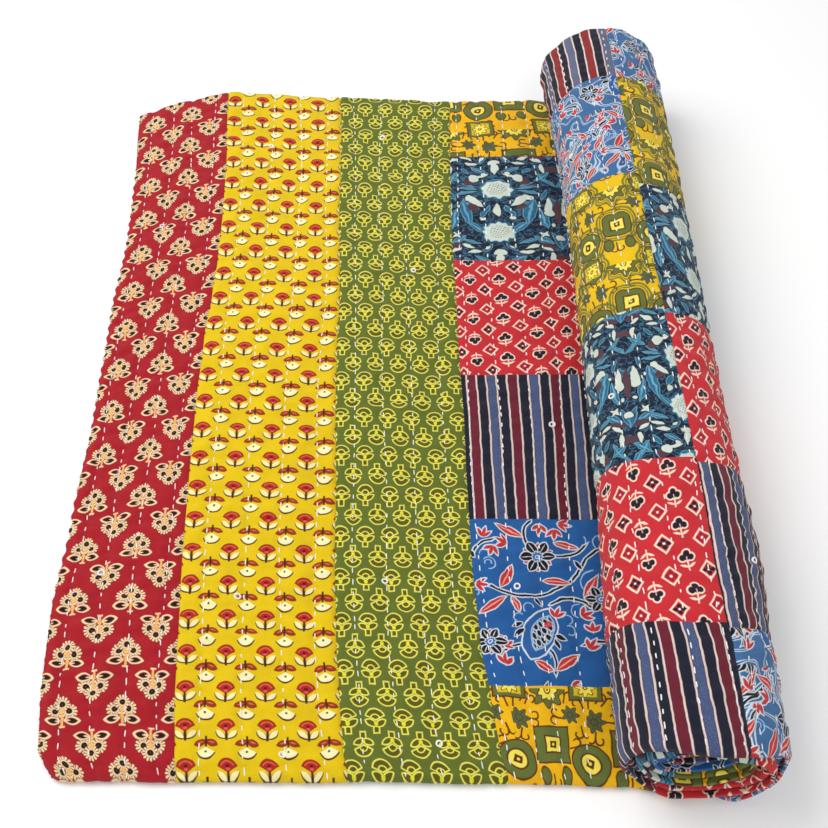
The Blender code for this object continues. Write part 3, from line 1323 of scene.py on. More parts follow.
@dataclass(frozen=True)
class MedallionPrint:
    """Golden cotton with olive squares, rings and stars and brown tendrils.

    Where it is echoed, olive lines follow the shapes outside, as on the roll's patches.
    """

    name: str = "medallion_cotton"
    echoed: bool = False
    ground: Ink = (244, 186, 6)
    brown: Ink = (96, 46, 12)
    olive: Ink = (100, 112, 50)
    pale: Ink = (250, 230, 88)
    across: float = 67.0
    along: float = 92.0

    def halo(self, block: PrintBlock, outer: Field) -> None:
        """Olive lines round a shape, where the print is echoed.

        Args:
            block: The print.
            outer: The shape.
        """
        if self.echoed:
            block.lay((outer - 6.2).outline(1.2), self.olive, 0.9)
            block.lay((outer - 3.3).outline(0.8), self.olive, 0.9)

    def nested(self, block: PrintBlock, outer: Field, middle: Field, core: Field, dot: Field) -> None:
        """Four shapes inside one another.

        Args:
            block: The print.
            outer: The olive one.
            middle: The pale one.
            core: The brown one.
            dot: The pale one in the middle.
        """
        block.lay(outer - 1.3, self.brown)
        block.lay(outer, self.olive)
        block.lay(middle - 1.5, self.brown)
        block.lay(middle, self.pale)
        block.lay(core, (88, 50, 12))
        block.lay(dot, self.pale)

    def tendrils(self, block: PrintBlock, at: Spot) -> None:
        """Brown stems that end in two curls, between the medallions.

        Args:
            block: The print.
            at: Place, seen from the square.
        """
        plans = (
            (-31.5, 36.0, 0.0), (-15.5, 20.5, -95.0), (-28.0, 7.5, 170.0), (6.5, 23.0, 80.0),
            (15.5, 40.0, -12.0), (29.0, 11.5, 190.0), (-2.5, -27.5, 184.0), (22.5, -1.0, -80.0),
            (-19.0, 37.5, -30.0), (-23.0, -37.0, 60.0), (22.0, -38.0, -60.0), (29.5, 35.5, 20.0),
        )
        shapes = []
        for x, y, lean in plans:
            half = at.moved(x, y).turned(-lean).mirrored()
            shapes.append(half.arc(3.3, 1.6, 3.1, 0.75, (0.35, 1.0), -1.5))
            shapes.append(half.bar(0.0, -2.0, 0.75, 3.4))
        block.lay(gathered(shapes), self.brown)

    def star(self, block: PrintBlock, at: Spot) -> None:
        """An olive star round a pale flower.

        Args:
            block: The print.
            at: Place, seen from its middle.
        """
        shape, _, _ = at.petals(8, 13.2, 2.4)
        self.halo(block, shape)
        block.lay(shape - 1.1, self.brown)
        block.lay(shape, self.olive)
        inner, away, _ = at.petals(9, 8.0, 1.1)
        block.lay(inner - 1.1, self.brown)
        block.lay(inner, self.pale)
        block.lay(away - 3.4, self.brown)
        block.lay(away - 2.2, self.pale)
        block.lay(away - 0.9, self.brown)

    def small_flower(self, block: PrintBlock, at: Spot, size: float) -> None:
        """A dark green flower with brown stamens.

        Args:
            block: The print.
            at: Place, seen from its middle.
            size: Its radius.
        """
        shape, away, wave = at.petals(7, size, size * 0.24)
        block.lay(shape - 0.9, self.brown)
        block.lay(shape, (82, 104, 66))
        block.lay((away - size * 0.4).outline(0.5), self.brown, 0.8)
        block.lay((wave * -2.0 + 1.2).within(away - size * 0.95), self.brown, 0.45)

    def material(self) -> bpy.types.Material:
        """Print the cloth."""
        block = PrintBlock(self.name, self.ground, 1.2)
        at = block.cloth.repeated(self.across, self.along)
        self.tendrils(block, at)
        beside = block.cloth.moved(self.across / 2.0, -13.0).repeated(self.across, self.along)
        square = at.bar(0.0, 0.0, 15.4, 13.6)
        ring = beside.disc(0.0, 0.0, 14.6)
        tile = beside.moved(0.0, -30.0)
        frame = tile.bar(0.0, 0.0, 12.5, 10.5)
        if self.echoed:
            square, _, _ = at.turned(45.0).petals(4, 14.6, 1.4)
            frame, _, _ = tile.petals(8, 12.8, 1.0)
        for shape in (square, ring, frame):
            self.halo(block, shape)
        self.star(block, at.moved(0.0, 45.0))
        self.nested(
            block, square, at.bar(0.6, 0.0, 6.4, 5.6),
            at.bar(0.6, 0.0, 3.0, 2.8), at.disc(0.6, 0.0, 1.2),
        )
        self.nested(
            block, ring, beside.disc(0.0, 0.0, 7.2),
            beside.turned(20.0).bar(0.0, 0.0, 3.2, 3.2), beside.disc(0.0, 0.0, 1.2),
        )
        self.small_flower(block, at.moved(-28.0, 20.6), 7.2)
        self.small_flower(block, at.moved(19.5, 25.0), 6.0)
        flower, away, _ = tile.petals(8, 6.2, 1.5)
        block.rimmed(frame, self.olive, self.brown, 1.3)
        block.lay(tile.bar(0.0, 0.0, 9.2, 7.8), (226, 196, 30))
        block.rimmed(flower, self.pale, self.brown, 1.0)
        block.rimmed(away - 1.0, self.pale, self.brown, 1.1)
        seed = at.mirrored().moved(10.5, -23.5).scaled(1.0, 0.72)
        block.rimmed(seed.disc(0.0, 0.0, 4.1), self.olive, self.brown, 1.1)
        return block.done()


@dataclass(frozen=True)
class VinePrint:
    """Blue cotton with black-petalled daisies, red leaves and tulips on edged vines.

    Where it is crowded, more stems and leaves fill it, as on the roll's patches.
    """

    name: str = "blue_vine_cotton"
    ground: Ink = (31, 92, 158)
    crowded: bool = False
    white: Ink = (220, 230, 238)
    red: Ink = (196, 48, 50)
    black: Ink = (14, 12, 24)
    sky: Ink = (170, 208, 238)

    def vines(self, block: PrintBlock, at: Spot) -> None:
        """Black stems edged in white, as stretches of circles.

        Args:
            block: The print.
            at: Place, seen from the large daisy.
        """
        plans = (
            (18.0, 25.0, 24.7, (0.40, -0.92), 20.5),
            (-10.7, 15.8, 53.0, (0.31, -0.95), 31.0),
            (3.5, 21.5, 14.8, (-1.0, 0.05), 8.2),
            (-37.0, -1.0, 16.6, (-0.6, 0.8), 12.8),
            (23.5, -60.0, 21.0, (0.05, 1.0), 13.5),
            (-18.0, -104.0, 24.2, (-0.4, 0.9), 20.0),
            (-12.0, -98.0, 19.3, (0.95, 0.3), 13.0),
            (60.0, -14.0, 24.0, (-0.3, 1.0), 15.0),
            (44.0, -98.0, 20.0, (0.4, 0.9), 10.0),
        )
        if self.crowded:
            plans += (
                (36.0, 30.0, 34.0, (-0.8, 0.6), 26.0), (-46.0, 46.0, 30.0, (0.6, -0.8), 20.0),
                (-20.0, -16.0, 30.0, (-0.9, 0.3), 24.0), (34.0, -30.0, 36.0, (-0.9, 0.5), 30.0),
                (10.0, 70.0, 40.0, (0.3, -1.0), 30.0), (70.0, 50.0, 36.0, (-0.9, -0.3), 26.0),
            )
        shape = gathered([at.arc(x, y, r, 0.95, facing, reach) for x, y, r, facing, reach in plans])
        if self.crowded:
            block.lay((shape - 3.2).outline(0.5), self.white)
        block.lay(shape - 0.95, self.white)
        block.lay(shape, self.black)

    def leaves(self, block: PrintBlock, at: Spot) -> None:
        """Red leaves with a white rim and a pale vein.

        Args:
            block: The print.
            at: Place, seen from the large daisy.
        """
        plans = (
            ((-33.0, 32.0), (-13.0, 18.5), 6.0),
            ((14.5, 13.6), (33.5, 8.7), 5.4),
            ((3.5, -22.5), (25.0, -25.0), 6.4),
            ((-52.0, -53.0), (-30.0, -38.0), 6.6),
            ((-33.0, -29.0), (-22.5, -8.5), 8.4),
            ((-25.0, -37.5), (-20.0, -51.0), 5.2),
            ((35.5, -38.0), (47.0, -17.0), 6.4),
            ((-12.0, -97.0), (4.0, -104.0), 6.4),
            ((7.0, -104.0), (28.0, -90.0), 7.0),
            ((51.0, 22.0), (63.0, 4.0), 6.2),
            ((50.0, -60.0), (64.0, -46.0), 6.6),
        )
        if self.crowded:
            plans += (
                ((16.0, 40.0), (38.0, 52.0), 7.0), ((-52.0, 16.0), (-34.0, 36.0), 6.6),
                ((-30.0, 44.0), (-8.0, 56.0), 6.6), ((10.0, 2.0), (28.0, 24.0), 6.0),
                ((-20.0, -26.0), (0.0, -12.0), 6.2), ((30.0, -22.0), (52.0, -6.0), 6.4),
                ((-60.0, -20.0), (-44.0, -2.0), 6.2), ((40.0, 40.0), (62.0, 54.0), 6.2),
                ((-8.0, 62.0), (12.0, 74.0), 6.2), ((-56.0, 50.0), (-40.0, 66.0), 6.0),
            )
        shape = gathered([at.leaf(*plan) for plan in plans])
        block.lay(shape - 1.5, self.black, 0.5)
        block.lay(shape - 0.9, self.white)
        block.lay(shape, self.red)
        vein = gathered([at.leaf(root, tip, 1.1) for root, tip, _ in plans])
        block.lay(vein, (238, 178, 160))

    def sprigs(self, block: PrintBlock, at: Spot) -> None:
        """Small black leaves edged in white.

        Args:
            block: The print.
            at: Place, seen from the large daisy.
        """
        plans = (
            ((-57.0, 9.0), (-52.0, 0.0), 3.6), ((-27.5, -65.0), (-19.0, -62.0), 3.8),
            ((-27.0, -73.0), (-18.0, -68.0), 3.8), ((10.0, -74.0), (18.0, -77.0), 3.6),
            ((9.0, -77.0), (12.0, -86.0), 3.4), ((30.0, -4.0), (36.0, -12.0), 3.2),
            ((-6.0, -39.0), (-1.0, -47.0), 3.2), ((56.0, -70.0), (62.0, -78.0), 3.6),
        )
        shape = gathered([at.leaf(*plan) for plan in plans])
        block.rimmed(shape, self.black, self.white, 0.75)

    def daisy(self, block: PrintBlock, at: Spot, size: float) -> None:
        """Black petals rimmed in white round a pale eye, over small red ones.

        Args:
            block: The print.
            at: Place, seen from the daisy.
            size: Radius in millimetres.
        """
        root = (0.2 * size, 0.0)
        between = at.turned(34.0).sector(6).leaf(root, (0.88 * size, 0.0), 0.36 * size)
        block.rimmed(between, (186, 70, 78), self.white, 0.75)
        petal = at.sector(6)
        block.rimmed(petal.leaf(root, (size, 0.0), 0.50 * size), self.black, self.white, 0.85)
        block.lay(petal.leaf((0.3 * size, 0.0), (0.9 * size, 0.0), 0.7), self.white)
        eye, away, _ = at.petals(10, 0.29 * size, 0.035 * size)
        block.lay(eye - 0.7, self.white)
        block.lay(eye, (52, 108, 176))
        block.lay((away - 0.12 * size).outline(0.45), self.white)

    def tulips(self, block: PrintBlock, at: Spot) -> None:
        """Small red flowers with pointed petals.

        Args:
            block: The print.
            at: Place, seen from the large daisy.
        """
        plans = (
            (-43.5, 23.5, 20.0), (-29.5, 14.5, -60.0), (-38.0, 7.0, 200.0), (2.5, 27.5, 190.0),
            (14.0, 22.5, 180.0), (22.0, 32.0, 100.0), (-48.5, -26.0, 100.0), (12.0, -53.0, 20.0),
            (35.5, -53.0, 60.0), (40.0, -66.0, 0.0), (39.0, -81.0, 30.0), (-34.0, -81.0, 60.0),
            (-37.0, -95.0, 10.0), (58.0, -8.0, 40.0), (57.0, -92.0, 0.0),
        )
        if self.crowded:
            plans += (
                (20.0, -12.0, 250.0), (-20.0, 40.0, 300.0), (40.0, 34.0, 240.0), (-58.0, 36.0, 290.0),
                (-8.0, -30.0, 260.0), (26.0, 54.0, 280.0), (-30.0, 62.0, 250.0), (60.0, -24.0, 260.0),
            )
        shapes = []
        for x, y, turn in plans:
            half = at.moved(x, y).turned(turn).mirrored()
            shapes.append(half.leaf((0.0, -4.0), (0.0, 6.2), 3.2))
            shapes.append(half.leaf((0.2, -4.0), (6.0, 3.0), 3.2))
        shape = gathered(shapes)
        block.lay(shape - 0.9, self.white)
        block.lay(shape, self.red)

    def curls(self, block: PrintBlock, at: Spot) -> None:
        """Fine white curls.

        Args:
            block: The print.
            at: Place, seen from the large daisy.
        """
        plans = (
            (-44.0, 2.5, 3.5, (0.4, 1.0), -1.0), (-41.0, -6.5, 5.2, (1.0, 0.4), -2.0),
            (-41.5, -6.5, 2.6, (0.0, 1.0), -1.0), (-12.5, -49.0, 4.4, (-0.3, 1.0), -1.5),
            (-21.5, -56.5, 4.0, (-0.8, 0.6), -1.0), (20.0, -59.0, 4.2, (0.7, 0.7), -1.0),
            (22.0, -68.0, 4.2, (1.0, 0.0), -1.5), (-53.5, -34.0, 3.0, (0.6, 0.8), -1.5),
            (33.5, 14.5, 6.0, (0.8, -0.6), 0.0), (30.0, -50.0, 6.0, (-1.0, 0.2), 0.0),
            (52.0, 14.0, 7.0, (-0.8, 0.6), 0.0), (46.0, -24.0, 12.0, (-0.9, 0.3), 6.0),
            (0.0, -92.0, 3.2, (0.3, 1.0), -1.0), (56.0, -30.0, 4.6, (0.6, 0.8), -1.5),
        )
        if self.crowded:
            plans += (
                (-20.0, 20.0, 26.0, (-0.7, 0.7), 16.0), (30.0, 4.0, 22.0, (-0.9, 0.3), 12.0),
                (6.0, 54.0, 20.0, (0.6, -0.8), 10.0), (-40.0, -28.0, 22.0, (0.9, 0.4), 12.0),
            )
        shape = gathered([at.arc(x, y, r, 0.42, facing, reach) for x, y, r, facing, reach in plans])
        block.lay(shape, self.sky)

    def pod(self, block: PrintBlock, at: Spot) -> None:
        """A pointed pod with rows of seeds.

        Args:
            block: The print.
            at: Place, seen from the pod.
        """
        body = at.leaf((-11.0, -23.0), (11.0, 23.0), 30.0)
        block.lay(body - 0.8, (40, 94, 160))
        block.lay(body.outline(0.7), self.white)
        inner = at.leaf((-5.0, -15.0), (10.0, 17.0), 19.0)
        block.lay(inner.outline(0.45), self.sky)
        seeds = at.turned(-28.0).repeated(5.2, 6.8).scaled(1.0, 0.6).disc(0.0, 0.0, 1.8)
        block.lay((seeds - 0.7).within(inner + 0.8), self.white)
        block.lay(seeds.within(inner + 1.0), self.black)
        block.lay(at.disc(8.0, 8.0, 3.4), self.red, 0.85)

    def material(self) -> bpy.types.Material:
        """Print the cloth."""
        block = PrintBlock(self.name, self.ground, 2.0)
        at = block.cloth.moved(4.0, -37.0).repeated(128.0, 150.0).moved(-4.0, 37.0)
        if self.crowded:
            swirl = block.noise(1.0 / 46.0, 1.0, 0.4)
            flow = block.math("PINGPONG", block.math("MULTIPLY", swirl.outputs["Fac"], 150.0), 9.0)
            block.lay(flow - 1.5, (30, 62, 120), 0.8)
            block.lay((flow - 1.5).outline(0.8), (196, 214, 232), 0.9)
        self.curls(block, at)
        self.vines(block, at)
        self.pod(block, at.moved(-4.5, -72.0))
        self.leaves(block, at)
        self.sprigs(block, at)
        self.tulips(block, at)
        self.daisy(block, at, 15.2)
        self.daisy(block, at.moved(-46.0, -79.0), 12.5)
        self.daisy(block, at.moved(48.0, -39.0), 12.5)
        if self.crowded:
            self.daisy(block, at.moved(14.0, 60.0), 14.0)
            self.daisy(block, at.moved(-44.0, 44.0), 12.5)
            self.daisy(block, at.moved(2.0, -46.0), 12.5)
        return block.done()


@dataclass(frozen=True)
class StripePrint:
    """Red, navy and slate stripes with cream lines between them.

    A stripe is longer than its repeat, so it runs on without an end.
    """

    name: str = "striped_cotton"
    red: Ink = (108, 27, 46)
    slate: Ink = (68, 84, 124)
    pitch: float = 10.3
    half_stripe: float = 5.0
    half_length: float = 600.0
    repeat: float = 1000.0

    def material(self) -> bpy.types.Material:
        """Print the cloth."""
        block = PrintBlock(self.name, (24, 26, 46), 0.9)
        half_pitch = 0.5 * self.pitch
        group = block.cloth.moved(-half_pitch, 0.0).repeated(4.0 * self.pitch, self.repeat)
        block.lay(group.bar(-3.0 * half_pitch, 0.0, self.half_stripe, self.half_length), self.red)
        block.lay(group.bar(half_pitch, 0.0, self.half_stripe, self.half_length), self.slate)
        fibres = block.noise(0.9, 2.0, 0.6)
        specks = block.math("MULTIPLY_ADD", fibres.outputs["Fac"], -9.0, 5.2)
        speckled = group.bar(half_pitch, 0.0, self.half_stripe - 0.8, self.half_length)
        block.lay(specks.within(speckled), (112, 116, 150), 0.7)
        across, _ = block.cloth.moved(half_pitch, 0.0).repeated(self.pitch, self.repeat).parts()
        block.lay(across.size() - 1.4, (58, 22, 34), 0.8)
        block.lay(across.size() - 0.82, (236, 214, 206), 0.95)
        return block.done()


@dataclass(frozen=True)
class DiamondPrint:
    """Red cotton with clovers and diamonds in cream outline, in alternate columns."""

    across: float = 58.0
    step: float = 28.5
    cream: Ink = (250, 222, 200)
    dark: Ink = (36, 16, 38)

    def clover(self, block: PrintBlock, at: Spot) -> None:
        """A black clover on a short cream stem.

        Args:
            block: The print.
            at: Place, seen from the clover's middle.
        """
        half = at.mirrored()
        lobes = half.disc(3.4, -0.5, 2.7).joined(at.disc(0.0, 2.7, 2.8)).joined(at.disc(0.0, -0.9, 2.2))
        block.lay(lobes - 1.35, self.cream)
        block.lay(at.bar(0.0, -7.0, 0.62, 5.0), self.cream)
        block.lay(half.leaf((-0.4, -9.2), (6.8, -6.0), 2.1), self.cream)
        block.lay(lobes, self.dark)
        block.lay(at.bar(0.0, -1.6, 0.4, 1.9), self.cream, 0.8)

    def diamond(self, block: PrintBlock, at: Spot, flower: Ink) -> None:
        """A cream-edged diamond with a flower of four petals.

        Args:
            block: The print.
            at: Place, seen from its middle.
            flower: Colour of the petals.
        """
        folded = block.vector("ABSOLUTE", at)
        edge = folded.side(0.72, 0.66, 5.5)
        block.lay(edge.outline(0.85), self.cream)
        petals = folded.disc(3.3, 0.0, 2.0).joined(folded.disc(0.0, 2.9, 1.95))
        block.lay(petals.joined(at.disc(0.0, 0.0, 2.0)), flower)
        block.lay(at.disc(0.0, 0.0, 1.15), (252, 232, 222))

    def material(self) -> bpy.types.Material:
        """Print the cloth."""
        block = PrintBlock("red_diamond_cotton", (202, 41, 50), 1.0)
        quarter = self.across / 4.0
        cloth = block.cloth.sloped(0.13)
        upright = cloth.repeated(self.across, self.step)
        self.clover(block, upright.scaled(1.12, 0.98))
        hanging = cloth.moved(2.0 * quarter, 0.0).scaled(1.0, -1.0).repeated(self.across, self.step)
        self.clover(block, hanging.scaled(1.12, 0.98))
        for number, shift in ((1, 0.5), (3, 1.5)):
            for turn, colour in ((0.0, self.dark), (1.0, (170, 20, 40))):
                place = self.step * (shift + turn)
                seen = cloth.moved(number * quarter, place).repeated(self.across, 2.0 * self.step)
                self.diamond(block, seen.scaled(1.12, 1.05), colour)
        return block.done()


@dataclass(frozen=True)
class GardenPrint:
    """Dark navy cotton with teal leaves and speckled off-white blossoms in mirror pairs."""

    teal: Ink = (38, 104, 138)
    pale: Ink = (212, 222, 210)
    earth: Ink = (88, 56, 66)
    across: float = 107.0
    along: float = 128.0

    def leaves(self, block: PrintBlock, half: Spot) -> None:
        """Teal leaves and blades with paler edges and streaks.

        Args:
            block: The print.
            half: Place with its left half folded over on the right one.
        """
        plans = (
            ((31.0, 14.0), (24.0, -24.0), 11.0), ((25.0, -20.0), (12.0, -35.0), 7.5),
            ((37.0, 0.0), (42.0, -30.0), 8.0), ((33.0, 40.0), (50.0, 50.0), 6.5),
            ((36.0, 54.0), (45.0, 36.0), 5.5), ((41.0, 44.0), (53.0, 30.0), 5.0),
            ((17.0, 28.0), (36.0, 31.5), 3.2), ((17.0, 25.0), (38.0, 21.0), 3.6),
            ((20.0, 31.0), (32.0, 38.0), 3.0), ((12.0, 12.0), (28.0, 5.0), 5.0),
            ((6.0, 52.0), (22.0, 61.0), 6.0), ((28.0, -40.0), (46.0, -50.0), 7.0),
            ((16.0, -49.0), (33.0, -44.0), 4.5), ((45.0, 14.0), (53.0, 2.0), 6.0),
            ((5.0, -50.0), (15.0, -61.0), 5.0), ((24.0, 50.0), (32.0, 60.0), 5.0),
            ((6.0, 4.0), (15.0, -12.0), 5.0), ((46.0, -34.0), (53.0, -58.0), 6.0),
            ((0.0, 44.0), (9.0, 38.0), 3.6), ((38.0, 12.0), (44.0, 26.0), 5.0),
        )
        shape = gathered([half.leaf(*plan) for plan in plans])
        vein = gathered([half.leaf(root, tip, width * 0.24) for root, tip, width in plans[:13]])
        block.lay(shape - 1.5, (12, 24, 44), 0.8)
        block.lay(shape, self.teal)
        block.lay((shape + 0.2).outline(0.35), (120, 178, 200), 0.75)
        block.lay(vein, (116, 178, 204), 0.8)

    def pale_drops(self, block: PrintBlock, half: Spot) -> None:
        """Off-white drops and petals beside maroon shadows.

        Args:
            block: The print.
            half: Place with its left half folded over on the right one.
        """
        shadows = [
            half.leaf((53.5, 12.0), (53.5, -26.0), 8.0), half.disc(25.0, 39.0, 5.0),
            half.disc(21.0, 2.0, 4.5), half.leaf((30.0, -50.0), (50.0, -56.0), 8.0),
            half.disc(50.0, 56.0, 5.0),
        ]
        block.lay(gathered(shadows), self.earth)
        plans = (
            ((28.0, 18.0), (11.0, 3.0), 8.0), ((45.5, 14.0), (45.0, -12.0), 8.0),
            ((44.0, 66.0), (44.0, 49.0), 5.4), ((21.0, -57.0), (33.0, -51.0), 4.4),
            ((15.0, -61.0), (28.0, -62.0), 4.0), ((34.0, -54.0), (45.0, -61.0), 4.4),
            ((33.0, -34.0), (43.0, -41.0), 3.2), ((34.0, -42.0), (42.0, -33.0), 3.0),
            ((18.0, 45.0), (6.0, 51.0), 3.6), ((0.0, 6.5), (0.0, -12.0), 7.0),
            ((0.0, 68.0), (0.0, 49.0), 6.5), ((8.0, -52.0), (13.0, -56.0), 3.0),
        )
        rounds = (
            (19.5, 44.5, 5.0), (24.5, 14.5, 4.2), (45.0, -7.5, 4.4), (12.5, -14.0, 2.6),
            (52.0, -44.0, 3.4), (10.0, 51.5, 2.2), (0.0, -63.0, 5.4), (47.5, -24.0, 2.2),
            (35.0, 4.0, 1.6),
        )
        shapes = [half.leaf(*plan) for plan in plans] + [half.disc(*plan) for plan in rounds]
        block.rimmed(gathered(shapes), self.pale, (14, 26, 48), 0.9)

    def blossom(self, block: PrintBlock, at: Spot, size: float, lobes: int) -> None:
        """A scalloped off-white blossom in a teal glow.

        Args:
            block: The print.
            at: Place, seen from the blossom.
            size: Its radius.
            lobes: Number of scallops.
        """
        shape, away, _ = at.petals(lobes, size, size * 0.08)
        block.lay(shape - 2.4, self.teal, 0.7, 1.6)
        block.lay(shape - 0.8, (112, 166, 180), 0.9, 0.5)
        block.lay(shape, self.pale)
        specks = block.cloth.turned(20.0).repeated(2.3, 2.3).disc(0.0, 0.0, 0.55)
        block.lay(specks.within(away - size * 0.66), (62, 66, 74), 0.85)

    def material(self) -> bpy.types.Material:
        """Print the cloth."""
        block = PrintBlock("navy_garden_cotton", (22, 35, 56), 3.4)
        at = block.cloth.repeated(self.across, self.along)
        half = at.mirrored()
        cloud = block.noise(1.0 / 7.0, 2.0, 0.5)
        wisp = block.math("MULTIPLY_ADD", cloud.outputs["Fac"], 24.0, -12.0)
        block.lay(wisp.outline(0.7), (66, 118, 150), 0.75)
        block.lay((wisp - 2.6).outline(0.9), (10, 18, 36), 0.9)
        self.leaves(block, half)
        self.pale_drops(block, half)
        lotus = at.moved(0.0, 27.0)
        point = half.leaf((0.0, 41.0), (0.0, 13.0), 14.5)
        block.lay(point - 2.6, self.teal, 0.7, 1.2)
        block.lay(point, self.pale)
        self.blossom(block, lotus.scaled(0.90, 0.88), 11.2, 9)
        self.blossom(block, at.moved(0.0, -34.0).scaled(1.0, 0.92), 12.2, 12)
        return block.done()


@dataclass(frozen=True)
class PlainCotton:
    """A single flat colour of matt cotton, for the thread and the floor."""

    name: str
    colour: tuple

    def material(self) -> bpy.types.Material:
        """Make the finish."""
        finish = bpy.data.materials.new(self.name)
        finish.use_nodes = True
        shader = finish.node_tree.nodes["Principled BSDF"]
        shader.inputs["Base Color"].default_value = (*self.colour, 1.0)
        shader.inputs["Roughness"].default_value = 0.9
        return finish


def taken(work: bmesh.types.BMesh) -> tuple[np.ndarray, np.ndarray]:
    """Take a small shape out of its bmesh, and free that.

    Args:
        work: The bmesh, all of faces with four corners.

    Returns:
        Its vertices, and its faces as rows of four.
    """
    spots = np.array([vertex.co[:] for vertex in work.verts])
    faces = np.array([[vertex.index for vertex in face.verts] for face in work.faces])
    work.free()
    return spots, faces


@dataclass
class Thread:
    """White running stitches along a panel's quilting lines, as one joined mesh.

    Each strays along its line, and varies in length and lean, by a seeded normal draw.
    """

    panel: Panel
    finish: bpy.types.Material
    width: float = 0.0011
    half_height: float = 0.00035
    proud: float = 0.00045
    margin: float = 0.004
    stray: float = 0.0009
    uneven: float = 0.16
    lean: float = 0.10
    reach: tuple = (0.0, 1.0)

    def template(self) -> tuple[np.ndarray, np.ndarray]:
        """One stitch along +X from -1 to 1, with its ends dipped.

        Returns:
            Its vertices, and its faces as rows of four.
        """
        work = bmesh.new()
        bmesh.ops.create_cone(
            work, cap_ends=False, segments=6, radius1=1.0, radius2=1.0, depth=2.0,
            matrix=Matrix.Rotation(math.radians(90.0), 4, "Y"),
        )
        along = [edge for edge in work.edges if abs(edge.verts[0].co.x - edge.verts[1].co.x) > 1.0]
        bmesh.ops.subdivide_edges(work, edges=along, cuts=3)
        return taken(work)

    def build(self) -> bpy.types.Object:
        """Lay every stitch on the cloth.

        Returns:
            The joined stitches.
        """
        spots, faces = self.template()
        t = spots[:, 0]
        taper = np.sqrt(np.clip(1.0 - 0.92 * t**4, 0.0, 1.0))
        quilting = self.panel.quilting
        copies = []
        random = np.random.default_rng(self.panel.seed)
        for number in range(len(quilting.lines)):
            if not self.reach[0] <= quilting.lines[number] <= self.reach[1]:
                continue
            first = quilting.phase(number) * quilting.pitch
            starts = np.arange(first, STRIP - self.margin, quilting.pitch)
            for start in starts[starts > self.margin]:
                middle = start + self.stray * random.normal()
                half = quilting.dash / 2.0 * (1.0 + self.uneven * random.normal())
                lean = self.lean * random.normal()
                along = middle + half * t
                side = spots[:, 1] * taper * self.width / 2.0 + lean * half * t / 2.0
                distance = quilting.line_at(number, along) + side
                lift = self.proud * (1.0 - 1.9 * t**4) + spots[:, 2] * taper * self.half_height
                copies.append(self.panel.face(distance, along, lift))
        return joined(f"{self.panel.name}_stitches", copies, faces, self.finish)


@dataclass
class Eyelets:
    """Small white rings worked in thread on a panel's visible face, as one joined mesh."""

    panel: Panel
    finish: bpy.types.Material
    radius: float = 0.0023
    cord: float = 0.0008
    proud: float = 0.0003
    # Panel, then the ring's distance along the strip and from the near edge
    spots: tuple = (
        ("red_border", 0.0389, 0.5845),
        ("red_border", 0.0382, 0.1796),
        ("yellow_border", 0.1582, 0.6909),
        ("yellow_border", 0.1558, 0.1543),
        ("yellow_border", 0.1903, 0.0205),
        ("green_border", 0.2832, 0.7096),
        ("green_border", 0.3162, 0.5186),
        ("green_border", 0.2808, 0.1708),
        ("green_border", 0.3130, 0.0303),
        ("patch_column_1", 0.4322, 0.6207),
        ("patch_column_1", 0.4333, 0.3332),
        ("patch_column_1", 0.3950, 0.1675),
        ("patch_column_2", 0.6477, 0.1565),
        ("patch_column_3", 0.7581, 0.6163),
        ("patch_column_3", 0.7509, 0.3134),
    )

    def template(self) -> tuple[np.ndarray, np.ndarray]:
        """One ring lying flat.

        Returns:
            Its vertices, and its faces as rows of four.
        """
        work = bmesh.new()
        upright = Matrix.Rotation(math.radians(90.0), 4, "X")
        stand = Matrix.Translation((self.radius, 0.0, 0.0)) @ upright
        bmesh.ops.create_circle(work, segments=6, radius=self.cord, matrix=stand)
        bmesh.ops.spin(
            work, geom=work.verts[:] + work.edges[:], cent=(0.0, 0.0, 0.0), axis=(0.0, 0.0, 1.0),
            angle=math.radians(360.0), steps=18, use_merge=True,
        )
        bmesh.ops.remove_doubles(work, verts=work.verts[:], dist=1e-6)
        work.verts.index_update()
        return taken(work)

    def build(self) -> bpy.types.Object:
        """Lay the panel's rings on the cloth.

        Returns:
            The joined rings.
        """
        spots, faces = self.template()
        x, y, z = spots.T
        copies = []
        for name, distance, along in self.spots:
            if name == self.panel.name:
                copies.append(self.panel.face(distance + x, along + y, self.proud + z))
        return joined(f"{self.panel.name}_rings", copies, faces, self.finish)


def joined(
    name: str, copies: list[np.ndarray], faces: np.ndarray, finish: bpy.types.Material
) -> bpy.types.Object:
    """One object from many copies of a small shape.

    Args:
        name: The piece's name.
        copies: Vertices of each copy.
        faces: Faces of one copy.
        finish: The material.

    Returns:
        The piece.
    """
    mesh = bpy.data.meshes.new(name)
    counted = [faces + number * len(copy) for number, copy in enumerate(copies)]
    mesh.from_pydata(np.concatenate(copies), [], np.concatenate(counted).tolist())
    mesh.materials.append(finish)
    work = bmesh.new()
    work.from_mesh(mesh)
    rims = [edge for edge in work.edges if edge.is_boundary]
    bmesh.ops.holes_fill(work, edges=rims, sides=8)
    bmesh.ops.recalc_face_normals(work, faces=work.faces[:])
    work.to_mesh(mesh)
    work.free()
    mesh.polygons.foreach_set("use_smooth", np.ones(len(mesh.polygons), bool))
    return put(name, mesh)


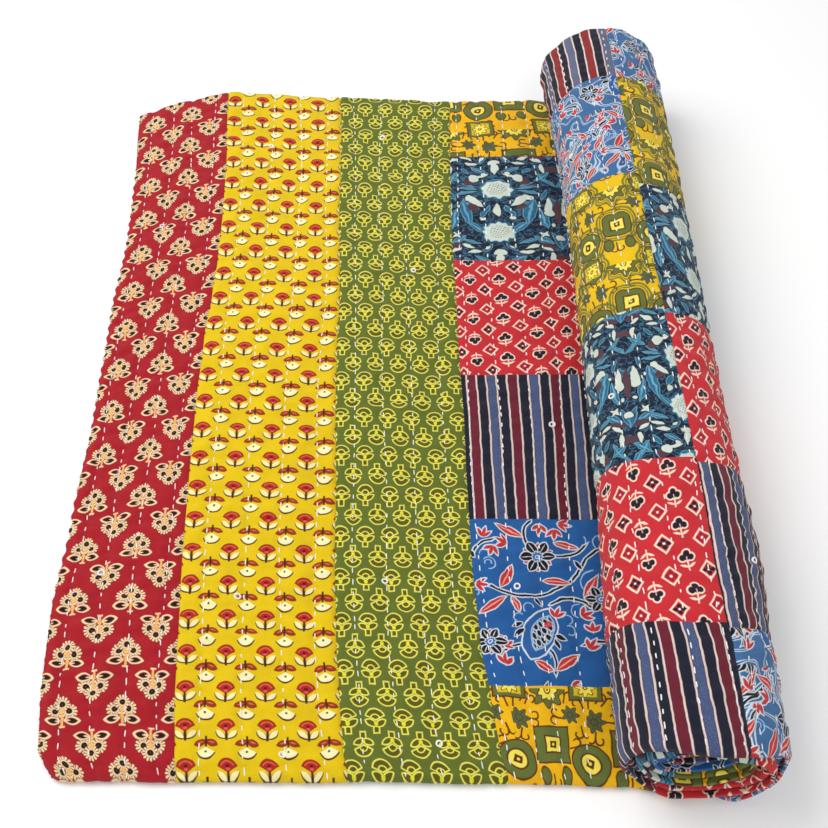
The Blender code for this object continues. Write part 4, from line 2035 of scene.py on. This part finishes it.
@dataclass
class Quilt:
    """The whole quilt, panel by panel from its open end.

    The patches of a column follow one another in a fixed order, and each column starts
    one patch further on in it.
    """

    lie: Lie = Lie()
    # Quilting lines of a column, from its first seam, and how many columns have them
    line_pitch: float = 0.0246
    first_line: float = 0.006
    last_line: float = 0.008
    quilted: int = 4
    # Face that shows of each column, then the spacing of its points
    faces: tuple = (Visible.UPPER, Visible.OUTER, Visible.OUTER, *(Visible.NONE,) * 5)
    steps: tuple = (0.0028, 0.0028, 0.0028, 0.0050, 0.0050, 0.0040, 0.0040, 0.0040)
    # Shares of the strip's width at each column's seams, the last row for all the rest
    row_tables: tuple = (
        (0.102, 0.301, 0.504, 0.691, 0.884),
        (0.127, 0.311, 0.508, 0.708, 0.901),
        (0.132, 0.317, 0.515, 0.726, 0.901),
        (0.115, 0.306, 0.506, 0.703, 0.893),
        (0.112, 0.306, 0.507, 0.703, 0.893),
    )
    # Shift in metres, turn in degrees and scale of each patch's print, column by column
    nudge_tables: tuple = (
        (
            (-0.034, 0.028, 2, 1.0), (-0.026, 0.042, 0, 1.0), (0.0132, 0.0, 0, 0.83),
            (0.010, 0.006, -1, 0.88), (-0.036, 0.000, 0, 1.0), (-0.018, 0.012, -3, 1.0),
        ),
        (
            (0.030, 0.010, 0, 1.0), (0.0065, 0.0, 0, 0.83), (0.006, 0.004, 4, 0.97),
            (0.034, 0.010, 4, 1.0), (-0.012, 0.030, -2, 1.0), (0.020, 0.046, 3, 0.85),
        ),
        (
            (-0.0155, 0.020, 2, 0.84), (0.0, 0.0, 3, 0.96), (0.012, 0.010, -4, 0.85),
            (0.020, 0.020, 0, 1.0), (0.020, -0.014, 4, 0.85), (0.0035, 0.0, 0, 0.92),
        ),
        (),
        (),
    )

    def borders(self, prints: dict[str, bpy.types.Material]) -> list[Panel]:
        """The three long strips at the open end.

        Args:
            prints: Materials by name.

        Returns:
            Their panels, ready to build.
        """
        plans = (
            ("red_border", 0.0, RED_WIDTH, (0.014, 0.040, 0.067, 0.095)),
            ("yellow_border", RED_WIDTH, YELLOW_WIDTH, (0.019, 0.051, 0.082, 0.112)),
            ("green_border", RED_WIDTH + YELLOW_WIDTH, GREEN_WIDTH, (0.017, 0.046, 0.075, 0.106)),
        )
        panels = []
        for number, (name, start, width, lines) in enumerate(plans):
            seams = (start + width,) if start == 0.0 else (start, start + width)
            quilting = Quilting(lines=tuple(start + line for line in lines), seams=seams)
            panels.append(
                Panel(
                    name, start, start + width, self.lie, quilting, Visible.UPPER,
                    finishes=(prints[name],), seed=number + 1,
                )
            )
        return panels

    def columns(self, prints: dict[str, bpy.types.Material]) -> list[Panel]:
        """The columns of patches, from the flat one to the roll's inner end.

        Args:
            prints: Materials by name.

        Returns:
            Their panels, ready to build.
        """
        panels = []
        last = len(COLUMN_STARTS) - 1
        for number in range(last + 1):
            names = ("medallion", "vines", "stripes", "diamonds", "garden", "brick_stripes")
            if number in (1, 2):
                names = ("roll_medallion", "roll_vines", *names[2:])
            order = [(row + number) % 5 for row in range(6)]
            # The patch at the roll's far end is of a browner striped cotton
            if number == 2:
                order[5] = names.index("brick_stripes")
            start = FIELD_START + COLUMN_STARTS[number]
            end = self.lie.winding.length()
            if number < last:
                end = FIELD_START + COLUMN_STARTS[number + 1]
            count = 0
            if number < self.quilted:
                count = int((end - start - self.last_line) / self.line_pitch) + 1
            lines = tuple(start + self.first_line + self.line_pitch * line for line in range(count))
            shown = min(number, len(self.row_tables) - 1)
            panels.append(
                Panel(
                    f"patch_column_{number + 1}", start, end, self.lie,
                    Quilting(lines=lines, seams=(start, end)), self.faces[number],
                    rows=self.row_tables[shown], finishes=tuple(prints[name] for name in names),
                    order=tuple(order), nudges=self.nudge_tables[shown],
                    step=self.steps[number], seed=number + 11,
                )
            )
        return panels


@dataclass(frozen=True)
class Studio:
    """Pale floor, soft light and the photograph's camera.

    The focal length and the picture's width are in pixels, the sensor's in millimetres.
    """

    place: tuple = (-0.00473, -0.62367, 0.91921)
    pitch_down: float = 57.22
    turned_right: float = 2.235
    focal: float = 1150.0
    picture: float = 828.0
    sensor: float = 36.0
    floor_half: float = 6.0
    floor_height: float = -0.0004
    sky: float = 0.54

    def camera(self) -> None:
        """Stand the camera where the photograph was taken from."""
        data = bpy.data.cameras.new("view")
        data.sensor_width = self.sensor
        data.lens = self.focal / self.picture * self.sensor
        data.clip_start = 0.05
        thing = put("view", data)
        heading = math.radians(self.turned_right)
        down = math.radians(self.pitch_down)
        ahead = Vector((math.sin(heading), math.cos(heading), 0.0)) * math.cos(down)
        ahead -= Vector((0.0, 0.0, math.sin(down)))
        right = Vector((math.cos(heading), -math.sin(heading), 0.0))
        top = right.cross(ahead)
        turn = Matrix((right, top, -ahead)).transposed()
        thing.matrix_world = Matrix.Translation(self.place) @ turn.to_4x4()
        bpy.context.scene.camera = thing

    def floor(self) -> None:
        """Lay a wide pale floor just under the quilt."""
        work = bmesh.new()
        bmesh.ops.create_grid(work, x_segments=1, y_segments=1, size=self.floor_half)
        mesh = bpy.data.meshes.new("floor")
        work.to_mesh(mesh)
        work.free()
        thing = put("floor", mesh)
        thing.location = (0.0, 0.0, self.floor_height)
        mesh.materials.append(PlainCotton("floor_paper", (0.96, 0.96, 0.96)).material())

    def lamps(self) -> None:
        """Hang two broad soft lamps and lift the shade with an even sky."""
        plans = (
            ("key", (-1.1, 0.5, 1.7), 1.5, 33.0),
            ("fill", (0.9, -1.2, 1.7), 1.6, 10.0),
        )
        for name, place, size, power in plans:
            data = bpy.data.lights.new(name, "AREA")
            data.size = size
            data.energy = power
            thing = put(name, data)
            thing.location = place
            aim = -Vector(place)
            thing.rotation_euler = aim.to_track_quat("-Z", "Y").to_euler()
        world = bpy.data.worlds.new("sky")
        world.use_nodes = True
        light = world.node_tree.nodes["Background"]
        light.inputs["Color"].default_value = (1.0, 1.0, 1.0, 1.0)
        light.inputs["Strength"].default_value = self.sky
        bpy.context.scene.world = world
        bpy.context.scene.view_settings.view_transform = "Standard"

    def build(self) -> None:
        """Set up everything around the quilt."""
        self.camera()
        self.floor()
        self.lamps()


def printed() -> dict[str, bpy.types.Material]:
    """Print every cloth of the quilt.

    Returns:
        Materials by name.
    """
    prints = {
        "red_border": BouquetPrint().material(),
        "yellow_border": SprigPrint().material(),
        "green_border": FanPrint().material(),
        "medallion": MedallionPrint().material(),
        "roll_medallion": MedallionPrint("echoed_medallion_cotton", True, (236, 192, 6)).material(),
        "vines": VinePrint().material(),
        "roll_vines": VinePrint("crowded_vine_cotton", (62, 108, 158), True).material(),
        "stripes": StripePrint().material(),
        "brick_stripes": StripePrint("brick_striped_cotton", (142, 42, 40), (96, 104, 134)).material(),
        "diamonds": DiamondPrint().material(),
        "garden": GardenPrint().material(),
    }
    for name, finish in prints.items():
        log.info("%s print: %d nodes", name, len(finish.node_tree.nodes))
    return prints


def main() -> None:
    """Load the frame, dress it panel by panel and set the studio."""
    logging.basicConfig(level=logging.INFO, format="%(message)s")
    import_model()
    prints = printed()
    thread = PlainCotton("white_thread", (0.86, 0.85, 0.82)).material()
    quilt = Quilt()
    panels = quilt.borders(prints) + quilt.columns(prints)
    slots = {
        "red_border": "red_cotton",
        "yellow_border": "yellow_cotton",
        "green_border": "green_cotton",
    }
    stitched = {Visible.UPPER: (0.0, 0.47), Visible.OUTER: (0.55, 1.0)}
    for panel in panels:
        thing = panel.build()
        node = panel.name if panel.name in slots else "patchwork_field"
        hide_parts(node)
        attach(thing, "root")
        if panel.visible is not Visible.NONE:
            stitches = Thread(panel, thread, reach=stitched[panel.visible])
            for extra in (stitches, Eyelets(panel, thread)):
                piece = extra.build()
                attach(piece, "root")
        panel.end - panel.start
        log.info("%s: %d faces", panel.name, len(thing.data.polygons))
    Studio().build()
    log.info("studio set")


if __name__ == "__main__":
    main()
